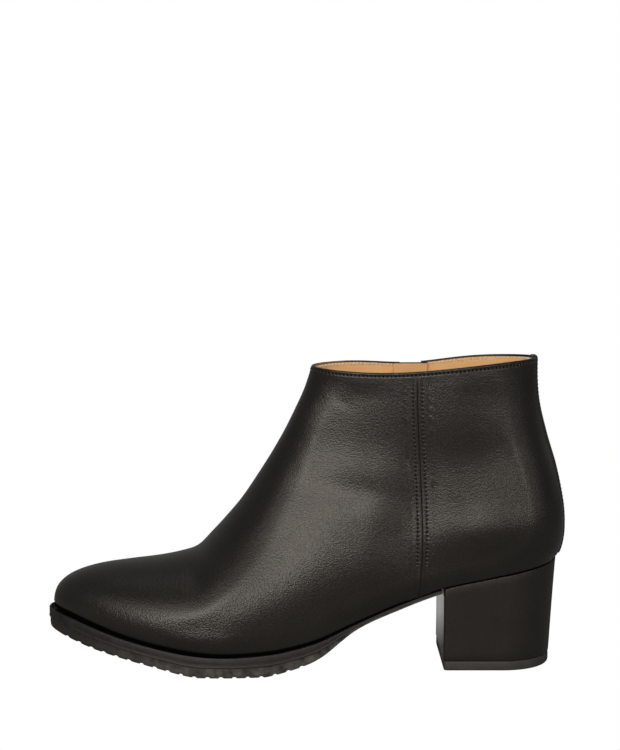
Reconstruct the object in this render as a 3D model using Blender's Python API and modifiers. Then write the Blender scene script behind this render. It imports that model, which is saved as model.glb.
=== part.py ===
"""Ankle boot for the left foot: leather upper with an inside zip, lugged rubber sole, covered heel.

Tables and sizes are in millimetres and become metres when a mesh is made. +X points to the toe,
+Y to the outer side of the foot, +Z up, and the floor is z = 0.
"""

import math
from collections import namedtuple

import bmesh
import bpy
from mathutils import Matrix, Vector

MM = 0.001
GAP = 0.3
OUTER = 1
INNER = -1
HALVINGS = 40
SHARP_ANGLE = 40.0

# The upper is a fan of ovals. Each oval runs from a base on the hem, or on the back seam above the
# heel seat, to a top on the ridge of toe, vamp, instep and shaft. Outer and inner are its widest
# points, the hem columns are where it is cut off at the sole, widest is how far up it is widest,
# and crown is the fullness of its top.
Section = namedtuple(
    "Section",
    "name base_x base_z top_x top_z centre outer inner hem_outer hem_inner widest crown",
)
SECTIONS = (
    Section("toe tip", 130.8, 26.9, 130.8, 26.9, -4.6, -4.6, -4.6, -4.6, -4.6, 0.24, 1.0),
    Section("toe end", 129.3, 26.8, 129.5, 35.6, -4.6, 2.4, -11.8, 1.9, -11.2, 0.24, 1.0),
    Section("toe round", 124.6, 26.2, 124.6, 41.4, -4.4, 9.8, -18.5, 8.8, -17.6, 0.23, 1.0),
    Section("toe box", 116.4, 24.7, 116.6, 45.5, -4.0, 17.2, -24.3, 16.0, -23.2, 0.22, 1.0),
    Section("toe back", 104.8, 21.5, 105.4, 48.6, -3.4, 24.4, -29.3, 23.0, -28.0, 0.195, 1.0),
    Section("vamp front", 90.0, 17.8, 91.5, 50.7, -2.7, 31.3, -34.4, 29.7, -32.8, 0.18, 1.0),
    Section("vamp", 74.0, 14.7, 77.0, 52.6, -2.0, 37.0, -38.2, 35.1, -36.3, 0.185, 1.02),
    Section("ball front", 58.0, 12.3, 65.0, 55.1, -1.5, 40.8, -40.3, 38.7, -38.2, 0.2, 1.05),
    Section("ball", 43.0, 11.3, 56.2, 58.4, -1.4, 42.0, -40.2, 39.8, -38.0, 0.235, 1.1),
    Section("throat", 28.0, 11.7, 49.0, 65.6, -1.4, 41.2, -38.2, 38.9, -35.7, 0.27, 1.14),
    Section("waist front", 12.0, 13.2, 41.5, 73.8, -1.4, 38.9, -35.2, 36.3, -31.8, 0.295, 1.15),
    Section("instep", -6.0, 17.5, 33.5, 83.4, -1.2, 36.2, -32.4, 33.0, -27.8, 0.285, 1.14),
    Section("waist", -25.0, 25.7, 25.5, 95.2, -0.9, 34.0, -30.8, 29.8, -24.8, 0.25, 1.1),
    Section("arch", -46.0, 34.3, 18.0, 107.1, -0.6, 32.8, -30.4, 27.6, -23.9, 0.21, 1.0),
    Section("seat front", -68.0, 41.9, 11.8, 118.0, -0.3, 31.7, -30.3, 27.1, -25.6, 0.175, 0.955),
    Section("seat", -91.0, 47.0, 7.2, 127.2, -0.1, 30.8, -30.2, 26.9, -26.6, 0.16, 0.92),
    Section("seat back", -111.0, 51.0, 4.0, 134.0, 0.0, 30.0, -29.8, 23.8, -23.6, 0.165, 0.9),
    Section("heel low", -123.0, 53.4, 2.0, 138.5, 0.0, 29.5, -29.4, 13.8, -13.8, 0.18, 0.887),
    Section("heel end", -127.4, 54.9, 0.8, 141.6, 0.0, 29.2, -29.2, 0.0, 0.0, 0.19, 0.881),
    Section("counter low", -129.9, 61.2, 0.0, 144.0, 0.0, 28.9, -28.9, 0.0, 0.0, 0.2, 0.874),
    Section("counter", -130.7, 70.5, -0.6, 145.8, 0.0, 28.45, -28.45, 0.0, 0.0, 0.215, 0.866),
    Section("counter top", -129.7, 83.5, -1.1, 147.4, 0.0, 27.85, -27.85, 0.0, 0.0, 0.235, 0.86),
    Section("tendon", -126.2, 100.5, -1.5, 148.8, 0.0, 27.0, -27.0, 0.0, 0.0, 0.265, 0.855),
    Section("ankle", -120.9, 118.2, -1.9, 150.0, 0.0, 26.1, -26.1, 0.0, 0.0, 0.305, 0.85),
    Section("shaft", -116.8, 136.0, -2.2, 151.0, 0.0, 25.2, -25.2, 0.0, 0.0, 0.355, 0.845),
    Section("collar", -115.9, 156.2, -2.5, 151.8, 0.0, 24.2, -24.2, 0.0, 0.0, 0.42, 0.84),
)
COLUMNS = tuple(zip(*SECTIONS))[1:]
NAMES = [section.name for section in SECTIONS]
HEEL_END = NAMES.index("heel end")
COLLAR = NAMES.index("collar")
HEEL_ROUND = 0.9
CLOSED_TIP_SHARE = 0.95
WIDEST_HEM_SHARE = 0.985
HEM_STEP = 0.02

# The collar line dips between its back and its front: how deep, how far forward and how narrow.
Dip = namedtuple("Dip", "depth forward narrow")
COLLAR_DIP = {OUTER: Dip(3.4, 1.5, 1.0), INNER: Dip(2.6, 1.15, 4.0)}

WALL = 2.2
FOOT_RINGS = 27
SHAFT_RINGS = 9
SIDE_STEPS = 16

# The sole, from toe to heel end: how far its edge stands out past the hem, its thickness at the
# middle, and how much higher its edge is than its middle. It is cut off flat at the floor.
Sole = namedtuple("Sole", "x lip thick roll")
SOLE = (
    Sole(134.0, 2.4, 9.8, 1.2),
    Sole(116.0, 2.6, 12.0, 1.6),
    Sole(90.0, 2.7, 11.0, 1.8),
    Sole(74.0, 2.7, 10.8, 1.6),
    Sole(58.0, 2.7, 11.5, 1.4),
    Sole(43.0, 2.7, 11.8, 1.4),
    Sole(28.0, 2.7, 12.2, 1.4),
    Sole(12.0, 2.6, 11.2, 1.4),
    Sole(-6.0, 2.1, 9.2, 1.0),
    Sole(-25.0, 1.1, 3.2, 0.5),
    Sole(-46.0, 0.6, 2.5, 0.3),
    Sole(-69.0, 0.2, 1.8, 0.2),
)
SOLE_COLUMNS = tuple(zip(*SOLE))
LIP_BEVEL = 0.7
PARTING_SHARE = 0.5
PARTING_STEP = 0.5
TREAD_INSET = 6.0
LUG_PITCH = 6.6
LUG_COUNT = 19
LUG_FIRST_X = 121.5
LUG_GROOVE = 1.8
LUG_DEPTH = 1.9
EDGE_NOTCH_SHARE = 0.6
LUG_SLOPE = 0.15
SOLE_END_TRIM = 0.02
TOE_STATIONS = 5
REAR_STATIONS = 14

INSOLE_INSET = 3.4
INSOLE_THICK = 2.2
INSOLE_STATIONS = 24

HEEL_BREAST_X = -68.3
HEEL_CORNER = 1.6
HEEL_CORNER_STEPS = 3
HEEL_SIDE_STEPS = 3
HEEL_BACK_STEPS = 10
HEEL_EDGE = 0.6
HEEL_TOP_HALF = 26.4
HEEL_TOP_BACK_X = -127.2
HEEL_FOOT_HALF = 25.6
HEEL_FOOT_BACK_X = -124.2
TOP_PIECE_HEIGHT = 5.0
TOP_PIECE_INSET = 0.2

ZIP_TOP = (-53.6, 150.2)
ZIP_END = (-55.4, 53.0)
ZIP_RUN = (ZIP_TOP[0] - ZIP_END[0], ZIP_TOP[1] - ZIP_END[1])
ZIP_STATIONS = 14
SLOT_HALF = 5.5
SLOT_OVERRUN = 12.0
SLOT_INSIDE = 6.6
SLOT_OUTSIDE = 4.4
TAPE_FACE = -1.0
TAPE_BACK = -1.9
CHAIN_HALF = 2.7
CHAIN_TOP = 0.5
FLAP_HALF = 9.0
FLAP_THICK = 1.2
STRIP_STEPS = 4

SLIDER_Z = 140.0
SLIDER_SIZE = (7.6, 10.0, 1.4)
BRIDGE_SIZE = (2.4, 7.2, 3.4)
TUNNEL_SIZE = (4.0, 3.0, 2.2)
SLIDER_EDGE = 0.35
PULL_LENGTH = 25.0
PULL_HALF = 3.6
PULL_TIP_HALF = 2.6
PULL_THICK = 1.2
PULL_BAR = 1.4
PULL_WINDOW_HALF = 1.7
PULL_WINDOW_END = 7.5

BACKSTAY_HALF = 5.0
BACKSTAY_THICK = 0.9
BACKSTAY_STEPS = 6
BACKSTAY_RINGS = 14
BACKSTAY_START = 18.4
BACKSTAY_STOP = 24.9


def clear_scene():
    for item in list(bpy.data.objects):
        bpy.data.objects.remove(item, do_unlink=True)


def new_collection(name):
    collection = bpy.data.collections.new(name)
    bpy.context.scene.collection.children.link(collection)
    return collection


def material(name, colour, roughness, metallic=0.0):
    made = bpy.data.materials.new(name)
    made.use_nodes = True
    shader = made.node_tree.nodes["Principled BSDF"]
    shader.inputs["Base Color"].default_value = (*colour, 1.0)
    shader.inputs["Roughness"].default_value = roughness
    shader.inputs["Metallic"].default_value = metallic
    return made


def add_object(name, mesh, collection, finish=None):
    item = bpy.data.objects.new(name, mesh)
    collection.objects.link(item)
    if finish:
        item.data.materials.append(finish)
    return item


def as_cutter(item):
    item.hide_render = True
    item.display_type = "WIRE"
    return item


def slope(values, row):
    """Slope of the smooth curve at a row: central inside, through three rows at the ends."""
    if row == 0:
        return (4.0 * values[1] - 3.0 * values[0] - values[2]) / 2.0
    if row == len(values) - 1:
        return (3.0 * values[-1] - 4.0 * values[-2] + values[-3]) / 2.0
    return (values[row + 1] - values[row - 1]) / 2.0


def spline(values, at):
    """Smooth curve through the values, read at a fractional row number."""
    row = max(0, min(int(at), len(values) - 2))
    part = at - row
    rest = 1.0 - part
    start = values[row] * (1.0 + 2.0 * part) + slope(values, row) * part
    end = values[row + 1] * (1.0 + 2.0 * rest) - slope(values, row + 1) * rest
    return start * rest * rest + end * part * part


def find_row(falling, wanted, last):
    """Fractional row, up to the last one, at which a falling function has the wanted value."""
    low, high = 0.0, float(last)
    for _ in range(HALVINGS):
        middle = (low + high) / 2.0
        if falling(middle) > wanted:
            low = middle
        else:
            high = middle
    return (low + high) / 2.0


def section_at(at):
    return Section("", *(spline(column, at) for column in COLUMNS))


def side_half(section, side):
    edge = section.outer if side == OUTER else section.inner
    return abs(edge - section.centre)


def start_angle(section, at, side):
    """Angle at which the oval is cut off by the hem; above the heel end it is whole."""
    if at >= HEEL_END:
        return 0.0
    half = side_half(section, side)
    hem = section.hem_outer if side == OUTER else section.hem_inner
    share = CLOSED_TIP_SHARE
    if half > GAP:
        share = min(WIDEST_HEM_SHARE, max(0.0, abs(hem - section.centre) / half))
    return math.asin(share ** (1.0 / HEEL_ROUND))


def collar_dip(at, rise, side):
    reach = max(0.0, (at - HEEL_END) / (COLLAR - HEEL_END))
    dip = COLLAR_DIP[side]
    return dip.depth * reach * reach * math.sin(math.pi * rise**dip.forward) ** dip.narrow


def oval_point(at, angle, side):
    """Point of the upper's outer face on one oval, from its start angle at the base to pi on top."""
    section = section_at(at)
    start = start_angle(section, at, side)
    if angle < math.pi / 2.0:
        rise = section.widest * (1.0 - math.cos(angle) / math.cos(start))
        spread = math.sin(angle) ** HEEL_ROUND
    else:
        rise = section.widest - (1.0 - section.widest) * math.cos(angle)
        spread = max(0.0, math.sin(angle)) ** section.crown
    rise = max(0.0, min(1.0, rise))
    x = section.base_x + rise * (section.top_x - section.base_x)
    z = section.base_z + rise * (section.top_z - section.base_z) - collar_dip(at, rise, side)
    y = section.centre + side * side_half(section, side) * spread
    return Vector((x, y, z))


def upper_ring(at):
    """One ring of the upper, from the outer hem over the ridge to the inner hem."""
    ring = []
    for side in (OUTER, INNER):
        start = start_angle(section_at(at), at, side)
        steps = range(SIDE_STEPS + 1) if side == OUTER else range(SIDE_STEPS - 1, -1, -1)
        for step in steps:
            ring.append(oval_point(at, start + (math.pi - start) * step / SIDE_STEPS, side))
    return ring


def ring_places():
    foot = [HEEL_END * step / FOOT_RINGS for step in range(FOOT_RINGS)]
    shaft = [HEEL_END + (COLLAR - HEEL_END) * step / SHAFT_RINGS for step in range(SHAFT_RINGS + 1)]
    return foot + shaft


def wall_depth(x, z, side):
    """Y of the upper's outer face where it is seen from the side at x and z."""

    def ahead(at):
        section = section_at(at)
        run_x = section.top_x - section.base_x
        run_z = section.top_z - section.base_z
        reach = ((x - section.base_x) * run_x + (z - section.base_z) * run_z) / (run_x**2 + run_z**2)
        lift = collar_dip(at, max(0.0, min(1.0, reach)), side)
        return (z + lift - section.base_z) * run_x - (x - section.base_x) * run_z, reach

    at = find_row(lambda row: ahead(row)[0], 0.0, COLLAR)
    rise = max(0.0, min(1.0, ahead(at)[1]))
    section = section_at(at)
    if rise < section.widest:
        start = start_angle(section, at, side)
        spread = math.sin(math.acos((1.0 - rise / section.widest) * math.cos(start))) ** HEEL_ROUND
    else:
        spread = math.sin(math.acos((section.widest - rise) / (1.0 - section.widest))) ** section.crown
    return section.centre + side * side_half(section, side) * spread


def wall_frame(x, z, along, side):
    """Frame on the outer face of the upper: across, along and out of the wall, at the point."""
    here = wall_depth(x, z, side)
    lean_x = wall_depth(x + 1.0, z, side) - here
    lean_z = wall_depth(x, z + 1.0, side) - here
    out = Vector((-lean_x, 1.0, -lean_z)).normalized() * side
    along = Vector((along[0], along[0] * lean_x + along[1] * lean_z, along[1])).normalized()
    across = along.cross(out).normalized()
    frame = Matrix((across, along, out)).transposed().to_4x4()
    frame.translation = Vector((x, here, z))
    return frame


def hem_row(x):
    return find_row(lambda at: spline(COLUMNS[0], at), x, HEEL_END)


def hem_height(x):
    return spline(COLUMNS[1], hem_row(x))


def sole_row(x):
    at = find_row(lambda row: spline(SOLE_COLUMNS[0], row), x, len(SOLE) - 1)
    return Sole(*(spline(column, at) for column in SOLE_COLUMNS))


def hem_point(at, side):
    section = section_at(at)
    return Vector((section.base_x, section.hem_outer if side == OUTER else section.hem_inner))


def hem_offset(at, side, offset):
    """Plan point at a distance outside the hem, at a row of the sections."""
    after = hem_point(min(at + HEM_STEP, HEEL_END), side)
    before = hem_point(max(at - HEM_STEP, 0.0), side)
    run = (after - before).normalized()
    here = hem_point(at, side)
    return here + Vector((run.y, -run.x)) * side * offset(here.x)


def edge_at(x, side, offset):
    """Y of the outline that runs at a distance outside the hem, where it passes x."""
    at = find_row(lambda row: hem_offset(row, side, offset).x, x, HEEL_END)
    return hem_offset(at, side, offset).y


def lip(x):
    return sole_row(x).lip


def sole_top(x):
    return hem_height(x) - GAP


def sole_bottom(x):
    return max(0.0, sole_top(x) - sole_row(x).thick)


def mesh_from(name, points, faces):
    mesh = bpy.data.meshes.new(name)
    mesh.from_pydata([point * MM for point in points], [], faces)
    shape = bmesh.new()
    shape.from_mesh(mesh)
    bmesh.ops.remove_doubles(shape, verts=shape.verts, dist=GAP * MM / 100.0)
    bmesh.ops.recalc_face_normals(shape, faces=shape.faces)
    if shape.calc_volume(signed=True) < 0.0:
        bmesh.ops.reverse_faces(shape, faces=shape.faces)
    shape.to_mesh(mesh)
    shape.free()
    mesh.shade_smooth()
    mesh.set_sharp_from_angle(angle=math.radians(SHARP_ANGLE))
    return mesh


def bands(ring_count, ring_size, closed):
    """Faces between neighbouring rings of points."""
    faces = []
    for ring in range(ring_count - 1):
        for step in range(ring_size if closed else ring_size - 1):
            after = (step + 1) % ring_size
            here, there = ring * ring_size, (ring + 1) * ring_size
            faces.append((here + step, here + after, there + after, there + step))
    return faces


def loft(name, rings):
    """Closed body through rings of points, with a flat face at each end."""
    size = len(rings[0])
    faces = bands(len(rings), size, closed=True)
    faces.append(tuple(range(size)))
    faces.append(tuple(range(size * (len(rings) - 1), size * len(rings))))
    return mesh_from(name, [point for ring in rings for point in ring], faces)


def stack(name, rings):
    """Closed body through level rings that are paired across the foot, with rungs over its ends."""
    size = len(rings[0])
    faces = bands(len(rings), size, closed=True)
    for base in (0, size * (len(rings) - 1)):
        for step in range(size // 2):
            far = size - 1 - step
            rung = (base + step, base + step + 1, base + far - 1, base + far)
            faces.append(tuple(dict.fromkeys(rung)))
    return mesh_from(name, [point for ring in rings for point in ring], faces)


def sweep(name, frames, profile):
    rings = [[frame @ Vector((across, 0.0, out)) for across, out in profile] for frame in frames]
    return loft(name, rings)


def box_mesh(name, size, centre):
    shape = bmesh.new()
    bmesh.ops.create_cube(shape, size=1.0)
    for corner in shape.verts:
        corner.co = Vector(a * b + c for a, b, c in zip(corner.co, size, centre)) * MM
    mesh = bpy.data.meshes.new(name)
    shape.to_mesh(mesh)
    shape.free()
    return mesh


def placed(frame):
    matrix = frame.copy()
    matrix.translation = frame.translation * MM
    return matrix


def cut(item, cutter, operation):
    change = item.modifiers.new(cutter.name, "BOOLEAN")
    change.operation = operation
    change.solver = "EXACT"
    change.object = cutter


def thicken(item, depth, offset):
    wall = item.modifiers.new("wall", "SOLIDIFY")
    wall.thickness = depth * MM
    wall.offset = offset
    wall.use_even_offset = True
    wall.use_quality_normals = True


def zip_frame(part, shift=0.0):
    """Frame on the inner wall at a share of the zip's length above its lower end, moved in x."""
    x = ZIP_END[0] + ZIP_RUN[0] * part + shift
    z = ZIP_END[1] + ZIP_RUN[1] * part
    return wall_frame(x, z, ZIP_RUN, INNER)


def zip_frames():
    return [zip_frame(station / ZIP_STATIONS) for station in range(ZIP_STATIONS + 1)]


def rectangle(half, low, high):
    return [(-half, low), (half, low), (half, high), (-half, high)]


def wall_strip(name, half, low, high):
    """Strip along the zip that follows the wall across its width, between two depths."""
    shifts = [half * (2.0 * step / STRIP_STEPS - 1.0) for step in range(STRIP_STEPS + 1)]
    rings = []
    for station in range(ZIP_STATIONS + 1):
        frames = [zip_frame(station / ZIP_STATIONS, shift) for shift in shifts]
        ring = [frame @ Vector((0.0, 0.0, low)) for frame in frames]
        ring += [frame @ Vector((0.0, 0.0, high)) for frame in frames[::-1]]
        rings.append(ring)
    return loft(name, rings)


def build_upper(parts, cutters, leather):
    rings = [upper_ring(at) for at in ring_places()]
    size = len(rings[0])
    points = [point for ring in rings for point in ring]
    mesh = mesh_from("upper", points, bands(len(rings), size, closed=False))
    upper = add_object("upper", mesh, parts, leather)
    thicken(upper, WALL, -1.0)
    upper.modifiers.new("flat faces", "TRIANGULATE")
    frames = zip_frames()
    past_collar = frames[-1].copy()
    past_collar.translation += past_collar.col[1].xyz * SLOT_OVERRUN
    slot = sweep("zip_slot", [*frames, past_collar], rectangle(SLOT_HALF, -SLOT_INSIDE, SLOT_OUTSIDE))
    cutter = as_cutter(add_object("zip_slot", slot, cutters))
    cutter.modifiers.new("flat faces", "TRIANGULATE")
    cut(upper, cutter, "DIFFERENCE")


def sole_stations():
    """Places along the sole, each with whether it lies in a groove between two lugs."""
    front = hem_offset(0.0, OUTER, lip).x - SOLE_END_TRIM
    stations = []
    for step in range(TOE_STATIONS):
        part = step / TOE_STATIONS
        stations.append((front + (LUG_FIRST_X + LUG_GROOVE - front) * part * part, False))
    rim, floor = LUG_GROOVE / 2.0 + LUG_SLOPE, LUG_GROOVE / 2.0 - LUG_SLOPE
    for lug in range(LUG_COUNT):
        middle = LUG_FIRST_X - LUG_PITCH * lug
        stations += [(middle + rim, False), (middle + floor, True)]
        stations += [(middle - floor, True), (middle - rim, False)]
    start = stations[-1][0]
    for step in range(1, REAR_STATIONS + 1):
        stations.append((start + (HEEL_BREAST_X + GAP - start) * step / REAR_STATIONS, False))
    return stations


def sole_outline(x, grooved):
    """Outline of the sole across the foot at x, from its outer top edge round to its inner one."""
    row = sole_row(x)
    top, bottom = sole_top(x), sole_bottom(x)
    edges = {side: edge_at(x, side, lip) for side in (OUTER, INNER)}
    half = (edges[OUTER] - edges[INNER]) / 2.0
    wall = top - bottom - row.roll
    bevel = min(LIP_BEVEL, wall / 4.0, half / 4.0)
    step = min(PARTING_STEP, wall / 8.0, half / 4.0)
    inset = min(TREAD_INSET, half / 2.0)
    parting = top - wall * PARTING_SHARE
    depth = LUG_DEPTH if grooved else 0.0
    profile = [
        (bevel, top),
        (0.0, top - bevel),
        (0.0, parting + step / 2.0),
        (step, parting - step / 2.0),
        (step, bottom + row.roll + depth * EDGE_NOTCH_SHARE),
        (inset, bottom + depth),
    ]
    outer = [Vector((x, edges[OUTER] - across, height)) for across, height in profile]
    inner = [Vector((x, edges[INNER] + across, height)) for across, height in profile]
    return outer + inner[::-1]


def build_outsole(parts, rubber):
    rings = [sole_outline(x, grooved) for x, grooved in sole_stations()]
    add_object("outsole", loft("outsole", rings), parts, rubber)


def build_insole(parts, lining):
    def inside(_):
        return -INSOLE_INSET

    front = hem_offset(0.0, OUTER, inside).x - GAP
    rear = hem_offset(HEEL_END, OUTER, inside).x + GAP
    rings = []
    for step in range(INSOLE_STATIONS + 1):
        part = 0.5 - 0.5 * math.cos(math.pi * step / INSOLE_STATIONS)
        x = front + (rear - front) * part
        edges = (edge_at(x, OUTER, inside), edge_at(x, INNER, inside))
        floor = hem_height(x)
        ring = [Vector((x, edge, floor)) for edge in edges]
        ring += [Vector((x, edge, floor + INSOLE_THICK)) for edge in edges[::-1]]
        rings.append(ring)
    add_object("insole", loft("insole", rings), parts, lining)


def heel_ring(half, back_x, inset, height):
    """Ring of the heel: a flat breast, two straight sides and a round back, paired across the foot."""
    half -= inset
    back_x += inset
    breast = HEEL_BREAST_X - inset
    middle = back_x + half
    side = []
    for step in range(HEEL_CORNER_STEPS + 1):
        turn = math.pi / 2.0 * step / HEEL_CORNER_STEPS
        x = breast - HEEL_CORNER * (1.0 - math.cos(turn))
        side.append((x, half - HEEL_CORNER * (1.0 - math.sin(turn))))
    for step in range(1, HEEL_SIDE_STEPS):
        side.append((breast + (middle - breast) * step / HEEL_SIDE_STEPS, half))
    for step in range(HEEL_BACK_STEPS):
        turn = math.pi / 2.0 * step / HEEL_BACK_STEPS
        side.append((middle - half * math.sin(turn), half * math.cos(turn)))
    ring = [Vector((x, y, height(x))) for x, y in side]
    ring.append(Vector((back_x, 0.0, height(back_x))))
    ring += [Vector((x, -y, height(x))) for x, y in side[::-1]]
    return ring


def build_heel(parts, leather):
    foot = TOP_PIECE_HEIGHT + GAP
    rings = []
    levels = ((0.0, HEEL_EDGE, 0.0), (0.0, 0.0, -HEEL_EDGE), (1.0, 0.0, 0.0))
    for part, inset, lift in levels:
        half = HEEL_TOP_HALF + (HEEL_FOOT_HALF - HEEL_TOP_HALF) * part
        back_x = HEEL_TOP_BACK_X + (HEEL_FOOT_BACK_X - HEEL_TOP_BACK_X) * part

        def height(x, part=part, lift=lift):
            return sole_top(x) * (1.0 - part) + foot * part + lift

        rings.append(heel_ring(half, back_x, inset, height))
    add_object("heel", stack("heel", rings), parts, leather)


def build_top_piece(parts, rubber):
    rings = []
    for inset, level in ((TOP_PIECE_INSET, TOP_PIECE_HEIGHT), (TOP_PIECE_INSET, HEEL_EDGE),
                         (TOP_PIECE_INSET + HEEL_EDGE, 0.0)):
        rings.append(heel_ring(HEEL_FOOT_HALF, HEEL_FOOT_BACK_X, inset, lambda x, level=level: level))
    add_object("heel_top_piece", stack("heel_top_piece", rings), parts, rubber)


def build_backstay(parts, leather):
    """Narrow strip over the back seam, on the upper's own rings."""
    points = []
    for step in range(BACKSTAY_RINGS + 1):
        at = BACKSTAY_START + (BACKSTAY_STOP - BACKSTAY_START) * step / BACKSTAY_RINGS
        for place in range(-BACKSTAY_STEPS // 2, BACKSTAY_STEPS // 2 + 1):
            across = BACKSTAY_HALF * 2.0 * place / BACKSTAY_STEPS
            side = OUTER if across >= 0.0 else INNER
            share = abs(across) / side_half(section_at(at), side)
            points.append(oval_point(at, math.asin(share ** (1.0 / HEEL_ROUND)), side))
    mesh = mesh_from("backstay", points, bands(BACKSTAY_RINGS + 1, BACKSTAY_STEPS + 1, closed=False))
    shape = bmesh.new()
    shape.from_mesh(mesh)
    shape.normal_update()
    for corner in shape.verts:
        corner.co += corner.normal * GAP * MM
    shape.to_mesh(mesh)
    shape.free()
    strip = add_object("backstay", mesh, parts, leather)
    thicken(strip, BACKSTAY_THICK, 1.0)


def build_zip(parts, cutters, cloth, lining, metal):
    tape_half = SLOT_HALF - GAP
    profile = [
        (-tape_half, TAPE_BACK),
        (tape_half, TAPE_BACK),
        (tape_half, TAPE_FACE),
        (CHAIN_HALF, TAPE_FACE),
        (CHAIN_HALF, CHAIN_TOP),
        (-CHAIN_HALF, CHAIN_TOP),
        (-CHAIN_HALF, TAPE_FACE),
        (-tape_half, TAPE_FACE),
    ]
    add_object("zip", sweep("zip", zip_frames()[1:], profile), parts, cloth)
    flap_face = -WALL - GAP
    flap = wall_strip("zip_flap", FLAP_HALF, flap_face - FLAP_THICK, flap_face)
    add_object("zip_flap", flap, parts, lining)
    build_slider(parts, cutters, metal)


def build_slider(parts, cutters, metal):
    """Slider on the closed zip, with a bridge that holds the cross bar of its pull."""
    frame = zip_frame((SLIDER_Z - ZIP_END[1]) / ZIP_RUN[1])
    plate_top = CHAIN_TOP + GAP + SLIDER_SIZE[2]
    plate = box_mesh("zip_slider", SLIDER_SIZE, (0.0, 0.0, plate_top - SLIDER_SIZE[2] / 2.0))
    slider = add_object("zip_slider", plate, parts, metal)
    sunk = SLIDER_SIZE[2] / 2.0
    bridge_size = (BRIDGE_SIZE[0], BRIDGE_SIZE[1], BRIDGE_SIZE[2] + sunk)
    bridge_mesh = box_mesh("bridge", bridge_size, (0.0, 0.0, plate_top + (BRIDGE_SIZE[2] - sunk) / 2.0))
    bridge = as_cutter(add_object("bridge", bridge_mesh, cutters))
    tunnel_mesh = box_mesh("tunnel", TUNNEL_SIZE, (0.0, 0.0, plate_top + TUNNEL_SIZE[2] / 2.0))
    tunnel = as_cutter(add_object("tunnel", tunnel_mesh, cutters))
    for item in (slider, bridge, tunnel):
        item.matrix_world = placed(frame)
    cut(slider, bridge, "UNION")
    cut(slider, tunnel, "DIFFERENCE")
    edges = slider.modifiers.new("edges", "BEVEL")
    edges.width = SLIDER_EDGE * MM
    edges.segments = 1
    build_pull(parts, metal, frame, plate_top + TUNNEL_SIZE[2] / 2.0)


def build_pull(parts, metal, frame, axis_height):
    """Flat pull tab that hangs from the bridge; its origin is on the axis of its cross bar."""
    curve = bpy.data.curves.new("zip_pull", "CURVE")
    curve.dimensions = "2D"
    curve.fill_mode = "BOTH"
    curve.extrude = PULL_THICK / 2.0 * MM
    top = PULL_BAR / 2.0
    foot = -PULL_LENGTH
    outline = [
        (-PULL_HALF, top),
        (PULL_HALF, top),
        (PULL_HALF, -PULL_WINDOW_END),
        (PULL_TIP_HALF, -PULL_WINDOW_END - PULL_HALF),
        (PULL_HALF, foot + PULL_TIP_HALF),
        (PULL_TIP_HALF, foot),
        (-PULL_TIP_HALF, foot),
        (-PULL_HALF, foot + PULL_TIP_HALF),
        (-PULL_TIP_HALF, -PULL_WINDOW_END - PULL_HALF),
        (-PULL_HALF, -PULL_WINDOW_END),
    ]
    window = [
        (-PULL_WINDOW_HALF, -top),
        (PULL_WINDOW_HALF, -top),
        (PULL_WINDOW_HALF, -PULL_WINDOW_END),
        (-PULL_WINDOW_HALF, -PULL_WINDOW_END),
    ]
    for corners in (outline, window):
        line = curve.splines.new("POLY")
        line.points.add(len(corners) - 1)
        line.use_cyclic_u = True
        for point, (across, along) in zip(line.points, corners):
            point.co = (across * MM, along * MM, 0.0, 1.0)
    pull = add_object("zip_pull", curve, parts, metal)
    hinge = frame @ Matrix.Translation((0.0, 0.0, axis_height))
    pull.matrix_world = placed(hinge)


def main():
    clear_scene()
    parts = new_collection("ankle_boot")
    cutters = new_collection("cutters")
    leather = material("black_leather", (0.022, 0.021, 0.019), 0.45)
    rubber = material("sole_rubber", (0.045, 0.045, 0.045), 0.7)
    lining = material("tan_lining", (0.73, 0.36, 0.13), 0.6)
    cloth = material("zip_cloth", (0.015, 0.015, 0.015), 0.8)
    metal = material("zip_metal", (0.12, 0.12, 0.12), 0.3, 1.0)
    build_upper(parts, cutters, leather)
    build_outsole(parts, rubber)
    build_insole(parts, lining)
    build_heel(parts, leather)
    build_top_piece(parts, rubber)
    build_backstay(parts, leather)
    build_zip(parts, cutters, cloth, lining, metal)


main()
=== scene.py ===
"""Looks of the ankle boot: leather, seams, stitches, lining, lugged sole, covered heel and inside zip.

Tables and sizes are in millimetres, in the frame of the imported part: +X points to the toe, +Y to the
outer side of the foot, +Z up. They become metres when a mesh or an object is made.
"""

import math
from collections import namedtuple
from types import SimpleNamespace

import bmesh
import bpy
import numpy as np
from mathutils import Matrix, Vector

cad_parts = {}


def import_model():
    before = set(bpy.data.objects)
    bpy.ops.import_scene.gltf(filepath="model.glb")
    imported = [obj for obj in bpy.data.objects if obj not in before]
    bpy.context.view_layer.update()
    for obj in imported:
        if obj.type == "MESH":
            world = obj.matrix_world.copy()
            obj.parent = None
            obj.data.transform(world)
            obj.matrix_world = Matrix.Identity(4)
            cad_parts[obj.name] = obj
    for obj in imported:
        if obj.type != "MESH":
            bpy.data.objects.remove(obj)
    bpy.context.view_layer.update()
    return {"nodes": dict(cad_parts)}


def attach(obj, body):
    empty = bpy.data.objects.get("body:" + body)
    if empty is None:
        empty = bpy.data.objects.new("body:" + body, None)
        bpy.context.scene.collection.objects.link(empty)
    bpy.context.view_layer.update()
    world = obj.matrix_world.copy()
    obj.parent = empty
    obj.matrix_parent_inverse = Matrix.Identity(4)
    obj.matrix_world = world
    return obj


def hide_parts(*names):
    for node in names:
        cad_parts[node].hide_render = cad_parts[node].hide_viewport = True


MM = 0.001
OUTER = 1
INNER = -1
HALVINGS = 40

# Step in rows and angles over which directions are taken.
NEAR = 0.02

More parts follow.
